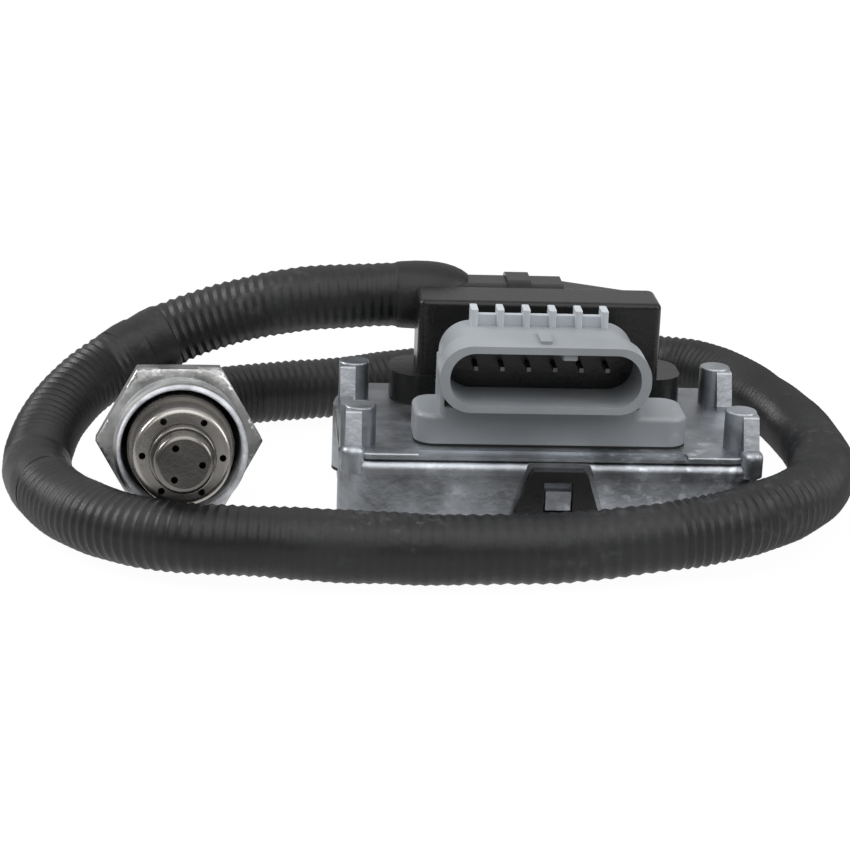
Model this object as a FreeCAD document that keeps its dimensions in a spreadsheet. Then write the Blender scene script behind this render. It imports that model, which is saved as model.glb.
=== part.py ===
# Exhaust gas sensor: a screw-in probe, its control unit and the conduit between them.
# Frame: millimetres, +Z up, origin at the centre of the control unit's underside,
# connector facing -Y. The probe lies on the same surface, to the left of the unit.

import FreeCAD, Part
import math
import os
import re
import Sketcher

# Driving dimensions: the sheet's aliases and their values in millimetres or degrees,
# or the formula for those that follow from others.

SIZES = {
    # Casting
    "housing_width": 64.0,
    "housing_depth": 38.4,
    "housing_top": 14.0,
    "corner_radius": 5.0,
    "rim_height": 3.6,
    "bead_height": 1.9,
    "bead_step": 0.5,
    "bead_round": 1.2,
    "step_setback": 0.3,
    "lip_height": 0.9,
    "lip_setback": 0.7,
    "lip_round": 0.3,
    "groove_depth": 1.5,
    "strip_half": 20.4,
    "strip_reach": 2.7,
    "strip_depth": 0.4,
    "skirt_inset": 0.8,
    "housing_wall": 2.6,
    "plate_thickness": 2.6,
    # Cover below the casting
    "cover_thickness": 2.0,
    "seal_thickness": 0.5,
    "latch_width": 8.7,
    "latch_foot_width": 16.0,
    "latch_top": 11.9,
    "latch_corner": 0.6,
    "latch_thickness": 1.4,
    "latch_front": 0.7,
    "latch_gap": 0.3,
    "recess_margin": 0.5,
    "recess_rise": 1.1,
    "wedge_setback": 0.15,
    "wedge_drop": 1.1,
    "latch_x": 0.8,
    "window_width": 4.4,
    "window_top": 10.2,
    "window_bottom": 5.5,
    # Posts on the casting, each over a column that a bolt enters from below
    "post_inset": 3.0,
    "post_front_inset": 6.3,
    "post_rear_inset": 8.3,
    "post_x": "=housing_width / 2 - post_inset",
    "post_front": "=housing_depth / 2 - post_front_inset",
    "post_rear": "=housing_depth / 2 - post_rear_inset",
    "post_radius": 2.4,
    "post_top": 20.0,
    "post_round": 0.35,
    "rib_width": 2.4,
    "rib_offset": 1.1,
    "rib_reach": 2.8,
    "rib_foot_reach": 4.9,
    "rib_foot_rise": 0.6,
    "rib_round": 0.5,
    "rib_drop": 0.3,
    "lug_reach": 2.9,
    "lug_length": 5.0,
    "lug_width": 1.9,
    "foot_radius": 1.9,
    "foot_top": 15.0,
    "foot_round": 1.2,
    "column_radius": 3.2,
    "bolt_hole_radius": 1.75,
    "bolt_hole_depth": 16.0,
    # Circuit board and what it carries
    "board_gap": 1.2,
    "board_width": "=2 * (post_x - column_radius - board_gap)",
    "board_depth": "=housing_depth - 2 * (skirt_inset + housing_wall + board_gap)",
    "board_bottom": 6.4,
    "board_thickness": 1.6,
    "pillar_inset": 3.0,
    "pillar_x": "=board_width / 2 - pillar_inset",
    "pillar_y": "=board_depth / 2 - pillar_inset",
    "pillar_radius": 2.2,
    "screw_radius": 1.0,
    "screw_clearance": 0.1,
    "screw_head_radius": 1.9,
    "screw_head_height": 1.2,
    "screw_length": 4.4,
    "chip_size": 10.0,
    "chip_height": 1.4,
    "driver_size": 6.0,
    "driver_height": 1.5,
    "capacitor_radius": 2.4,
    "capacitor_height": 3.2,
    # Connector
    "gasket_thickness": 0.4,
    "flange_half": 20.8,
    "flange_inset": 4.7,
    "flange_front": "=housing_depth / 2 - flange_inset",
    "flange_back": 3.0,
    "flange_height": 4.5,
    "flange_round": 3.2,
    "socket_x": -1.7,
    "shroud_width": 31.8,
    "shroud_height": 10.3,
    "shroud_base": 6.0,
    "shroud_wall": 1.1,
    "shroud_reach": 3.5,
    "corner_pocket": 3.0,
    "shroud_front": "=flange_front + shroud_reach",
    "cavity_depth": 10.6,
    "band_start": 12.0,
    "band_step": -0.15,
    "band_narrowing": 0.9,
    "carrier_thickness": 0.8,
    "carrier_gap": 0.1,
    "socket_back": 2.4,
    "rear_wall": 1.2,
    "fin_front": 6.2,
    "fin_width": 1.1,
    "fin_height": 2.6,
    "fin_bar_height": 1.6,
    "fin_bar_depth": 1.2,
    "key_width": 1.8,
    "key_height": 0.5,
    "pin_pitch": 4.0,
    "pin_count": 6,
    "pin_side": 0.64,
    "pin_tip": 12.0,
    "pin_leg": 5.0,
    "pin_clearance": 0.06,
    # Hood over the cable entry
    "hood_flange_half": 23.2,
    "hood_front": 6.0,
    "hood_inset": 0.8,
    "hood_back": "=housing_depth / 2 - hood_inset",
    "hood_flange_height": 4.5,
    "hood_round": 4.5,
    "hood_x": 0.0,
    "hood_width": 38.5,
    "hood_step": 1.0,
    "hood_top": 31.0,
    "hood_box_back": 16.6,
    "hood_edge": 1.3,
    "hood_wall": 2.4,
    "saddle_left": 12.9,
    "saddle_top": 30.8,
    "saddle_flat": 4.9,
    "saddle_right": 16.0,
    "saddle_radius": 5.8,
    "saddle_end_drop": 2.2,
    "ridge_left": 4.2,
    "ridge_width": 3.8,
    "ridge_height": 0.6,
    "entry_bore": 2.3,
    # Leads
    "lead_radius": 0.55,
    "lead_pitch": 2.2,
    "lead_count": 5,
    "lead_x": -2.6,
    "lead_row": 12.0,
    "bundle_radius": 1.3,
    "grommet_length": 3.0,
    "fit_gap": 0.05,
    # Probe, measured along its own axis from the front face of the hexagon
    "probe_x": -56.2,
    "probe_y": -9.1,
    "probe_z": 12.4,
    "probe_yaw": 2.7,
    "probe_lift": 10.9,
    "hex_across_flats": 22.0,
    "hex_height": 8.0,
    "hex_edge": 1.0,
    "thread_radius": 10.0,
    "thread_length": 11.0,
    "thread_edge": 0.7,
    "thread_relief": 1.2,
    "nut_mouth_radius": 9.0,
    "nut_shoulder": 2.5,
    "shell_radius": 7.5,
    "running_gap": 0.08,
    "end_play": 0.15,
    "seat_radius": 8.0,
    "seat_front": 8.6,
    "spigot_front": 10.9,
    "shell_back": 14.0,
    "shell_bore": 4.3,
    "sleeve_seat": 6.5,
    "outer_tube_radius": 7.2,
    "outer_tube_wall": 0.5,
    "outer_tube_front": 18.6,
    "tube_round": 0.9,
    "hole_radius": 0.5,
    "hole_circle": 5.85,
    "hole_count": 6,
    "hole_turn": 58.3,
    "collar_radius": 4.85,
    "collar_front": 21.6,
    "collar_round": 0.35,
    "nose_radius": 4.35,
    "nose_front": 27.0,
    "inner_tube_wall": 0.4,
    "nose_hole_circle": 2.6,
    "nose_hole_count": 3,
    "nose_hole_turn": 118.0,
    "element_width": 4.0,
    "element_thickness": 1.4,
    "element_front": 19.0,
    "element_back": 16.0,
    "bush_front": 4.0,
    "talc_back": 4.0,
    "bush_back": 9.0,
    "clamp_front": 14.3,
    "clamp_back": 19.0,
    "clamp_radius": 4.6,
    "sleeve_radius": 6.95,
    "sleeve_collar_radius": 8.1,
    "sleeve_collar_length": 1.2,
    "sleeve_back": 24.0,
    "sleeve_grip": 4.0,
    "boot_radius": 6.2,
    "boot_back": 27.5,
    "probe_lead_radius": 0.6,
    "probe_lead_circle": 2.7,
    "probe_lead_count": 6,
    # Conduit
    "conduit_diameter": 10.7,
    "conduit_last_run": 8.2,
}

doc = FreeCAD.newDocument("exhaust_gas_sensor")
dims = doc.addObject("Spreadsheet::Sheet", "dims")
for row, (alias, number) in enumerate(SIZES.items(), start=1):
    dims.set(f"A{row}", alias)
    dims.setAlias(f"B{row}", alias)
    dims.set(f"B{row}", str(number))
doc.recompute()

FUNCTIONS = {"sin", "cos", "tan", "sqrt", "pi", "deg"}
TOUCH = 1e-6


def value(text):
    """The number that an expression in the sheet's names gives."""
    return float(dims.evalExpression(str(text)))


def bind(thing, prop, text):
    """Ties a property to an expression in the sheet's names."""
    name = re.compile(r"[a-z_][a-z_]*")
    thing.setExpression(prop, name.sub(lambda m: m[0] if m[0] in FUNCTIONS else "dims." + m[0], str(text)))


# Sketches and PartDesign features

def new_body(label):
    body = doc.addObject("PartDesign::Body", label)
    body.Label = label
    return body


def new_sketch(body, plane, offset):
    """A sketch on one of the body's origin planes, moved along that plane's normal."""
    sketch = body.newObject("Sketcher::SketchObject", "outline")
    origin_plane = next(f for f in body.Origin.OriginFeatures if f.Role == plane + "_Plane")
    sketch.AttachmentSupport = [(origin_plane, "")]
    sketch.MapMode = "FlatFace"
    if offset:
        bind(sketch, "AttachmentOffset.Base.z", offset)
    return sketch


def locate(sketch, geometry, point, x=None, y=None):
    """Places a point of the sketch at bound distances from the sketch's origin."""
    for kind, text, axis in (("DistanceX", x, -2), ("DistanceY", y, -1)):
        if text is None:
            continue
        number = value(text)
        if abs(number) < TOUCH:
            sketch.addConstraint(Sketcher.Constraint("PointOnObject", geometry, point, axis))
            continue
        index = sketch.addConstraint(Sketcher.Constraint(kind, -1, 1, geometry, point, number))
        bind(sketch, f"Constraints[{index}]", text)


def draw_outline(sketch, points):
    """A closed outline of straight lines through bound points."""
    corners = [FreeCAD.Vector(value(x), value(y), 0) for x, y in points]
    first = len(sketch.Geometry)
    count = len(corners)
    for i, corner in enumerate(corners):
        sketch.addGeometry(Part.LineSegment(corner, corners[(i + 1) % count]))
    for i in range(count):
        sketch.addConstraint(Sketcher.Constraint("Coincident", first + i, 2, first + (i + 1) % count, 1))
    for i, (x, y) in enumerate(points):
        locate(sketch, first + i, 1, x, y)


def draw_circle(sketch, x, y, radius):
    centre = FreeCAD.Vector(value(x), value(y), 0)
    circle = sketch.addGeometry(Part.Circle(centre, FreeCAD.Vector(0, 0, 1), value(radius)))
    index = sketch.addConstraint(Sketcher.Constraint("Radius", circle, value(radius)))
    bind(sketch, f"Constraints[{index}]", radius)
    locate(sketch, circle, 3, x, y)


def draw_rounded(sketch, left, right, low, high, radius):
    """A rectangle with rounded corners, given by its four sides."""
    x0, x1, y0, y1, r = (value(t) for t in (left, right, low, high, radius))
    corners = [(x0 + r, y0), (x1 - r, y0), (x1, y0 + r), (x1, y1 - r),
               (x1 - r, y1), (x0 + r, y1), (x0, y1 - r), (x0, y0 + r)]
    ends = [FreeCAD.Vector(x, y, 0) for x, y in corners]
    first = len(sketch.Geometry)
    for i in range(0, 8, 2):
        sketch.addGeometry(Part.LineSegment(ends[i], ends[i + 1]))
    centres = [(x1 - r, y0 + r), (x1 - r, y1 - r), (x0 + r, y1 - r), (x0 + r, y0 + r)]
    for i, (x, y) in enumerate(centres):
        circle = Part.Circle(FreeCAD.Vector(x, y, 0), FreeCAD.Vector(0, 0, 1), r)
        start = math.radians(90 * (i - 1))
        sketch.addGeometry(Part.ArcOfCircle(circle, start, start + math.pi / 2))
    for i in range(4):
        line, arc, after = first + i, first + 4 + i, first + (i + 1) % 4
        sketch.addConstraint(Sketcher.Constraint("Tangent", line, 2, arc, 1))
        sketch.addConstraint(Sketcher.Constraint("Tangent", arc, 2, after, 1))
        sketch.addConstraint(Sketcher.Constraint("Vertical" if i % 2 else "Horizontal", line))
    for i in range(3):
        sketch.addConstraint(Sketcher.Constraint("Equal", first + 4 + i, first + 5 + i))
    index = sketch.addConstraint(Sketcher.Constraint("Radius", first + 4, r))
    bind(sketch, f"Constraints[{index}]", radius)
    locate(sketch, first, 1, y=low)
    locate(sketch, first + 1, 1, x=right)
    locate(sketch, first + 2, 1, y=high)
    locate(sketch, first + 3, 1, x=left)


def pad(body, sketch, length, back=False):
    feature = body.newObject("PartDesign::Pad", "pad")
    feature.Profile = sketch
    bind(feature, "Length", length)
    feature.Reversed = back
    doc.recompute()
    return feature


def pocket(body, sketch, length, ahead=True):
    """Cuts the sketch away from the body, ahead along the sketch plane's normal or behind it."""
    before = body.Shape.Volume
    feature = body.newObject("PartDesign::Pocket", "pocket")
    feature.Profile = sketch
    bind(feature, "Length", length)
    feature.Reversed = ahead
    doc.recompute()
    if body.Shape.Volume > before - TOUCH:
        raise RuntimeError(f"{body.Label}: a pocket cuts nothing")
    return feature


def revolve(body, points, cut=False):
    """Turns a closed outline, given as radius and height, about the body's Z axis."""
    sketch = new_sketch(body, "XZ", None)
    draw_outline(sketch, points)
    before = body.Shape.Volume if cut else 0.0
    feature = body.newObject("PartDesign::Groove" if cut else "PartDesign::Revolution", "turned")
    feature.Profile = sketch
    feature.ReferenceAxis = (sketch, ["V_Axis"])
    feature.Angle = 360
    doc.recompute()
    if cut and body.Shape.Volume > before - TOUCH:
        raise RuntimeError(f"{body.Label}: a groove cuts nothing")
    return feature


def round_edges(body, radius, wanted):
    """Fillets the edges whose middle point and direction pass the test."""
    names = []
    for i, edge in enumerate(body.Shape.Edges, start=1):
        middle = edge.valueAt((edge.FirstParameter + edge.LastParameter) / 2)
        if wanted(edge, middle):
            names.append(f"Edge{i}")
    rounded_off = body.Tip
    feature = body.newObject("PartDesign::Fillet", "fillet")
    feature.Base = (rounded_off, names)
    bind(feature, "Radius", radius)
    doc.recompute()
    if "Invalid" in feature.State:
        raise RuntimeError(f"{body.Label}: a fillet fails on {len(names)} edges")
    return feature


def slab(body, left, right, low, high, radius, bottom, height):
    """A rounded rectangle in plan, padded up from a height."""
    sketch = new_sketch(body, "XY", bottom)
    draw_rounded(sketch, left, right, low, high, radius)
    return pad(body, sketch, height)


def inset_slab(body, inset, bottom, height):
    """The casting's own outline in plan, drawn in by an inset."""
    half_width = f"(housing_width / 2 - ({inset}))"
    half_depth = f"(housing_depth / 2 - ({inset}))"
    return slab(body, f"-{half_width}", half_width, f"-{half_depth}", half_depth,
                f"corner_radius - ({inset})", bottom, height)


def near(a, b, tolerance=0.02):
    return abs(a - b) < tolerance


# Casting

SKIRT_BOTTOM = "cover_thickness + seal_thickness"
CAVITY_INSET = "skirt_inset + housing_wall"
CAVITY_TOP = "housing_top - plate_thickness"
BOARD_TOP = "board_bottom + board_thickness"
LATCH_SEAT = "(housing_depth / 2 + latch_front - latch_thickness - latch_gap)"
PIN_REACH = "(pin_pitch * (pin_count - 1) / 2 + pin_side * 2)"
PIN_OPENING = (f"socket_x - {PIN_REACH}", f"socket_x + {PIN_REACH}",
               "-(pin_leg + pin_side * 2)", "-(pin_leg - pin_side * 2)")
LEAD_REACH = "(lead_pitch * (lead_count - 1) / 2 + lead_radius * 2)"
LEAD_OPENING = (f"lead_x - {LEAD_REACH}", f"lead_x + {LEAD_REACH}",
                "lead_row - lead_radius * 2", "lead_row + lead_radius * 2")


def latch_outline(sketch, clearance, rise):
    """The latch's tapered front view with cut corners, grown at its sides and at its top."""
    top = f"(latch_width / 2 + ({clearance}))"
    foot = f"(latch_foot_width / 2 + ({clearance}))"
    height = f"(latch_top + ({rise}))"
    draw_outline(sketch, [(f"latch_x - {foot}", "0"), (f"latch_x + {foot}", "0"),
                          (f"latch_x + {top}", f"{height} - latch_corner"),
                          (f"latch_x + {top} - latch_corner", height),
                          (f"latch_x - {top} + latch_corner", height),
                          (f"latch_x - {top}", f"{height} - latch_corner")])


def window_outline(sketch, clearance, drop):
    """The latch's window in front view, drawn in by a clearance and lower at its top."""
    half = f"(window_width / 2 - ({clearance}))"
    low, high = f"window_bottom + ({clearance})", f"window_top - ({clearance}) - ({drop})"
    draw_outline(sketch, [(f"latch_x - {half}", low), (f"latch_x + {half}", low),
                          (f"latch_x + {half}", high), (f"latch_x - {half}", high)])


def casting_shell(body):
    """Skirt, beaded and grooved rim and lip, hollow from below."""
    rim_bottom = "housing_top - rim_height"
    bead_bottom = f"{rim_bottom} + bead_step"
    inset_slab(body, "skirt_inset", SKIRT_BOTTOM, f"{rim_bottom} - ({SKIRT_BOTTOM})")
    inset_slab(body, "groove_depth", rim_bottom, "rim_height")
    inset_slab(body, "step_setback", rim_bottom, "bead_step")
    inset_slab(body, "0", bead_bottom, "bead_height")
    inset_slab(body, "lip_setback", "housing_top - lip_height", "lip_height")
    bead_top = value(f"{bead_bottom} + bead_height")
    half_width, half_depth = value("housing_width / 2"), value("housing_depth / 2")

    def bead_edge(edge, middle):
        reach = max(abs(middle.x) - half_width, abs(middle.y) - half_depth)
        corner = edge.Curve.TypeId == "Part::GeomCircle" and near(edge.Curve.Radius, value("corner_radius"))
        return near(middle.z, bead_top) and (near(reach, 0) or corner)

    round_edges(body, "bead_round", bead_edge)
    round_edges(body, "lip_round", lambda edge, middle: near(middle.z, value("housing_top")))
    sketch = new_sketch(body, "XY", "housing_top - strip_depth")
    draw_outline(sketch, [("-strip_half", "-housing_depth / 2"), ("strip_half", "-housing_depth / 2"),
                          ("strip_half", "strip_reach - housing_depth / 2"),
                          ("-strip_half", "strip_reach - housing_depth / 2")])
    pocket(body, sketch, "strip_depth")
    sketch = new_sketch(body, "XY", SKIRT_BOTTOM)
    half_width = f"(housing_width / 2 - ({CAVITY_INSET}))"
    half_depth = f"(housing_depth / 2 - ({CAVITY_INSET}))"
    draw_rounded(sketch, f"-{half_width}", half_width, f"-{half_depth}", half_depth,
                 f"corner_radius - ({CAVITY_INSET})")
    pocket(body, sketch, f"{CAVITY_TOP} - ({SKIRT_BOTTOM})")


def post_places():
    return [(f"{side}post_x", y) for side in ("-", "") for y in ("-post_front", "post_rear")]


def post_rib(body, x, y, base):
    """A rib in front of a post, its front sloping down to the plate's edge."""
    outward = "-" if x.startswith("-") else ""
    top = "post_top - rib_drop"
    sketch = new_sketch(body, "YZ", f"{outward}(post_x + rib_offset) - rib_width / 2")
    draw_outline(sketch, [(y, base), (f"{y} - rib_foot_reach", base),
                          (f"{y} - rib_foot_reach", "housing_top + rib_foot_rise"),
                          (f"{y} - rib_reach", top), (y, top)])
    pad(body, sketch, "rib_width")


def casting_posts(body):
    """Four ribbed posts, the columns below them and the pillars that carry the board."""
    rim_bottom = "housing_top - rim_height"
    bead_bottom = f"{rim_bottom} + bead_step"
    for x, y in post_places():
        sketch = new_sketch(body, "XY", SKIRT_BOTTOM)
        draw_circle(sketch, x, y, "column_radius")
        pad(body, sketch, f"{CAVITY_TOP} - ({SKIRT_BOTTOM}) + plate_thickness / 2")
        sketch = new_sketch(body, "XY", bead_bottom)
        draw_circle(sketch, x, y, "post_radius")
        pad(body, sketch, f"post_top - ({bead_bottom})")
    round_edges(body, "post_round", lambda edge, middle: near(middle.z, value("post_top")))
    for side in ("-", ""):
        sketch = new_sketch(body, "XY", bead_bottom)
        draw_circle(sketch, f"{side}(post_x + rib_offset)", "-(housing_depth / 2 - foot_radius)", "foot_radius")
        pad(body, sketch, f"foot_top - ({bead_bottom})")
    round_edges(body, "foot_round", lambda edge, middle: near(middle.z, value("foot_top")))
    for x, y in post_places():
        post_rib(body, x, y, bead_bottom)
    rib_top = value("post_top - rib_drop")
    rib_fronts = [value(f"{y} - rib_reach") for x, y in post_places()]
    round_edges(body, "rib_round", lambda edge, middle: near(middle.z, rib_top)
                and any(near(middle.y, front) for front in rib_fronts))
    lug = "-(post_x + lug_reach - lug_width / 2)"
    slab(body, f"{lug} - lug_width / 2", f"{lug} + lug_width / 2", "-post_front", "lug_length - post_front",
         "lug_width * 0.45", bead_bottom, f"post_top - rib_drop - ({bead_bottom})")
    for side in ("-", ""):
        for y in ("-pillar_y", "pillar_y"):
            sketch = new_sketch(body, "XY", BOARD_TOP)
            draw_circle(sketch, f"{side}pillar_x", y, "pillar_radius")
            pad(body, sketch, f"{CAVITY_TOP} - ({BOARD_TOP}) + plate_thickness / 2")


def plate_opening(body, left, right, low, high):
    sketch = new_sketch(body, "XY", CAVITY_TOP)
    draw_rounded(sketch, left, right, low, high, "lead_radius")
    pocket(body, sketch, "plate_thickness")


def casting_holes(body):
    """Blind bolt holes, pilot holes for the board's screws and the two openings in the plate."""
    drill_bolt_holes(body, SKIRT_BOTTOM, f"bolt_hole_depth - ({SKIRT_BOTTOM})")
    sketch = new_sketch(body, "XY", BOARD_TOP)
    for x, y in board_screw_places():
        draw_circle(sketch, x, y, "screw_radius + screw_clearance")
    pocket(body, sketch, "screw_length - board_thickness + screw_clearance")
    plate_opening(body, *PIN_OPENING)
    plate_opening(body, *LEAD_OPENING)


def latch_recesses(body):
    """A recess for each latch, at the front and at the back."""
    for turn in (1, -1):
        sketch = new_sketch(body, "XZ", f"{turn} * {LATCH_SEAT}")
        latch_outline(sketch, "recess_margin", "recess_rise")
        pocket(body, sketch, "latch_thickness * 2", ahead=turn > 0)


def casting_latch_seats(body):
    """The latches' recesses, and the wedges that the latches' windows drop over."""
    latch_recesses(body)
    for turn in (1, -1):
        sketch = new_sketch(body, "XZ", f"{turn} * {LATCH_SEAT}")
        window_outline(sketch, "latch_gap", "wedge_drop")
        pad(body, sketch, "latch_thickness + latch_gap - wedge_setback", back=turn < 0)


def control_housing():
    body = new_body("control_housing")
    casting_shell(body)
    casting_latch_seats(body)
    casting_posts(body)
    casting_holes(body)
    return body


def drill_bolt_holes(body, bottom, height):
    """The four bolt holes, from a height upwards."""
    sketch = new_sketch(body, "XY", bottom)
    for x, y in post_places():
        draw_circle(sketch, x, y, "bolt_hole_radius")
    pocket(body, sketch, height)


def base_cover():
    """A flat moulding with a windowed latch at its front and at its back."""
    body = new_body("base_cover")
    inset_slab(body, "skirt_inset", "0", "cover_thickness")
    for turn in (1, -1):
        face = f"{turn} * (housing_depth / 2 + latch_front - latch_thickness)"
        sketch = new_sketch(body, "XZ", face)
        latch_outline(sketch, "0", "0")
        pad(body, sketch, "latch_thickness", back=turn < 0)
        sketch = new_sketch(body, "XZ", face)
        left, right = "latch_x - latch_foot_width / 2", "latch_x + latch_foot_width / 2"
        draw_outline(sketch, [(left, "0"), (right, "0"), (right, "cover_thickness"), (left, "cover_thickness")])
        pad(body, sketch, "latch_thickness", back=turn > 0)
        sketch = new_sketch(body, "XZ", face)
        window_outline(sketch, "0", "0")
        pocket(body, sketch, "latch_thickness", ahead=turn > 0)
    drill_bolt_holes(body, "0", "cover_thickness")
    return body


def cover_seal():
    """A flat ring between the cover and the skirt, wider round each bolt."""
    body = new_body("cover_seal")
    inset_slab(body, "skirt_inset", "cover_thickness", "seal_thickness")
    sketch = new_sketch(body, "XY", "cover_thickness")
    half_width = f"(housing_width / 2 - ({CAVITY_INSET}))"
    half_depth = f"(housing_depth / 2 - ({CAVITY_INSET}))"
    draw_rounded(sketch, f"-{half_width}", half_width, f"-{half_depth}", half_depth,
                 f"corner_radius - ({CAVITY_INSET})")
    pocket(body, sketch, "seal_thickness")
    for x, y in post_places():
        sketch = new_sketch(body, "XY", "cover_thickness")
        draw_circle(sketch, x, y, "column_radius")
        pad(body, sketch, "seal_thickness")
    drill_bolt_holes(body, "cover_thickness", "seal_thickness")
    latch_recesses(body)
    return body


# Part primitives

def box(name, x, y, z, length, width, height):
    """A block given by its low corner and its sides."""
    block = doc.addObject("Part::Box", name)
    for prop, text in (("Length", length), ("Width", width), ("Height", height),
                       ("Placement.Base.x", x), ("Placement.Base.y", y), ("Placement.Base.z", z)):
        bind(block, prop, text)
    return block


def cylinder(name, x, y, z, radius, height, toward=(0, 0, 1)):
    """A round bar from a point along a direction."""
    bar = doc.addObject("Part::Cylinder", name)
    bar.Placement.Rotation = FreeCAD.Rotation(FreeCAD.Vector(0, 0, 1), FreeCAD.Vector(*toward))
    for prop, text in (("Radius", radius), ("Height", height),
                       ("Placement.Base.x", x), ("Placement.Base.y", y), ("Placement.Base.z", z)):
        bind(bar, prop, text)
    return bar


def fuse(label, shapes):
    joined = doc.addObject("Part::MultiFuse", label)
    joined.Shapes = shapes
    joined.Label = label
    return joined


def cut(label, base, tool):
    rest = doc.addObject("Part::Cut", label)
    rest.Base = base
    rest.Tool = tool
    rest.Label = label
    return rest


def group(label, shapes):
    """Separate solids of one kind that share a node."""
    several = doc.addObject("Part::Compound", label)
    several.Links = shapes
    several.Label = label
    return several


# Tubes along a route

def rounded_path(points):
    """Straight runs joined by tangent arcs, each as large as its two runs allow."""
    edges, radii = [], []
    start = points[0]
    for before, corner, after in zip(points, points[1:], points[2:]):
        into, out = corner - before, after - corner
        turn = into.getAngle(out)
        reach = 0.45 * min(into.Length, out.Length)
        radius = reach / math.tan(turn / 2)
        first = corner - FreeCAD.Vector(into).normalize() * reach
        last = corner + FreeCAD.Vector(out).normalize() * reach
        inward = (first + last) * 0.5 - corner
        centre = corner + inward.normalize() * (radius / math.cos(turn / 2))
        middle = centre + (corner - centre).normalize() * radius
        edges += [Part.LineSegment(start, first).toShape(), Part.Arc(first, middle, last).toShape()]
        radii.append(radius)
        start = last
    edges.append(Part.LineSegment(start, points[-1]).toShape())
    return Part.Wire(edges), radii


def tube(points, radius):
    """A round solid along a route, with its centreline and the radii of its turns."""
    path, radii = rounded_path(points)
    ring = Part.Wire(Part.makeCircle(radius, points[0], points[1] - points[0]))
    return path.makePipeShell([ring], True, False), path, radii


# Board

def board_screw_places():
    return [(f"{side}pillar_x", y) for side in ("-", "") for y in ("-pillar_y", "pillar_y")]


def circuit_board():
    body = new_body("circuit_board")
    slab(body, "-board_width / 2", "board_width / 2", "-board_depth / 2", "board_depth / 2",
         "screw_radius", "board_bottom", "board_thickness")
    sketch = new_sketch(body, "XY", "board_bottom")
    for x, y in board_screw_places():
        draw_circle(sketch, x, y, "screw_radius + screw_clearance")
    for i in range(SIZES["pin_count"]):
        draw_circle(sketch, f"socket_x + pin_pitch * ({i} - (pin_count - 1) / 2)", "-pin_leg",
                    "pin_side / sqrt(2) + pin_clearance")
    pocket(body, sketch, "board_thickness")
    return body


def board_screws():
    """Four screws from below, their heads against the board."""
    screws = []
    for x, y in board_screw_places():
        head = cylinder("head", x, y, "board_bottom - screw_head_height", "screw_head_radius",
                        "screw_head_height")
        shank = cylinder("shank", x, y, "board_bottom", "screw_radius", "screw_length")
        screws.append(fuse("screw", [head, shank]))
    return group("board_screws", screws)


def board_chips():
    """The processor above the board with its pad, and the driver chips and capacitors below."""
    chip = box("processor_chip", "-chip_size / 2", "-chip_size / 4", BOARD_TOP,
               "chip_size", "chip_size", "chip_height")
    heat_pad = box("thermal_pad", "-chip_size / 2", "-chip_size / 4", f"{BOARD_TOP} + chip_height",
                   "chip_size", "chip_size", f"{CAVITY_TOP} - ({BOARD_TOP}) - chip_height")
    drivers = [box("driver", f"{i} * driver_size * 1.5 - driver_size / 2", "driver_size / 2",
                   "board_bottom - driver_height", "driver_size", "driver_size", "driver_height")
               for i in (-1, 0, 1)]
    cans = [cylinder("can", f"{i} * capacitor_radius * 1.5", "-capacitor_radius * 0.5",
                     "board_bottom - capacitor_height", "capacitor_radius", "capacitor_height")
            for i in (-1, 1)]
    return [chip, heat_pad, group("driver_chips", drivers), group("power_capacitors", cans)]


# Connector

SOCKET_BOTTOM = "(housing_top + gasket_thickness)"
SOCKET_DECK = f"({SOCKET_BOTTOM} + flange_height)"
SHROUD_LOW = f"({SOCKET_BOTTOM} + shroud_base)"
SHROUD_HIGH = f"({SHROUD_LOW} + shroud_height)"
SHROUD_LEFT = "(socket_x - shroud_width / 2)"
SHROUD_RIGHT = "(socket_x + shroud_width / 2)"
PIN_LEVEL = f"({SHROUD_LOW} + shroud_height / 2)"


def shroud_section(sketch, sides, level):
    """The oval front view of the shroud, grown by one amount at its sides and another above and below."""
    draw_rounded(sketch, f"{SHROUD_LEFT} - ({sides})", f"{SHROUD_RIGHT} + ({sides})",
                 f"{SHROUD_LOW} - ({level})", f"{SHROUD_HIGH} + ({level})", f"shroud_height * 0.48 + ({level})")


def plug_socket():
    """Flange, base block, oval shroud, keyed cavity and the row of fins."""
    body = new_body("plug_socket")
    slab(body, "-flange_half", "flange_half", "-flange_front", "-flange_back", "flange_round",
         SOCKET_BOTTOM, "flange_height")
    round_edges(body, "flange_round / 4", lambda edge, middle: near(middle.z, value(SOCKET_DECK)))
    slab(body, f"{SHROUD_LEFT} + shroud_wall / 2", f"{SHROUD_RIGHT} - shroud_wall / 2", "-flange_front",
         "-socket_back", "shroud_wall", SOCKET_BOTTOM, "shroud_base + shroud_height / 2")
    corner = "(shroud_width / 2 - shroud_wall - corner_pocket / 2)"
    for side in ("-", "+"):
        sketch = new_sketch(body, "XZ", "flange_front - corner_pocket")
        draw_rounded(sketch, f"socket_x {side} {corner} - corner_pocket / 2",
                     f"socket_x {side} {corner} + corner_pocket / 2", f"{SHROUD_LOW} - shroud_wall / 4",
                     f"{SHROUD_LOW} + corner_pocket", "shroud_wall / 4")
        pocket(body, sketch, "corner_pocket")
    sketch = new_sketch(body, "XZ", "band_start")
    shroud_section(sketch, "0", "0")
    pad(body, sketch, "shroud_front - band_start")
    sketch = new_sketch(body, "XZ", "socket_back")
    shroud_section(sketch, "-band_narrowing", "band_step")
    pad(body, sketch, "band_start - socket_back")
    sketch = new_sketch(body, "XZ", "shroud_front - cavity_depth")
    shroud_section(sketch, "-(shroud_wall + band_narrowing / 2)", "-shroud_wall")
    pocket(body, sketch, "cavity_depth")
    fins(body)
    keys(body)
    pin_chamber(body)
    return body


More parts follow.
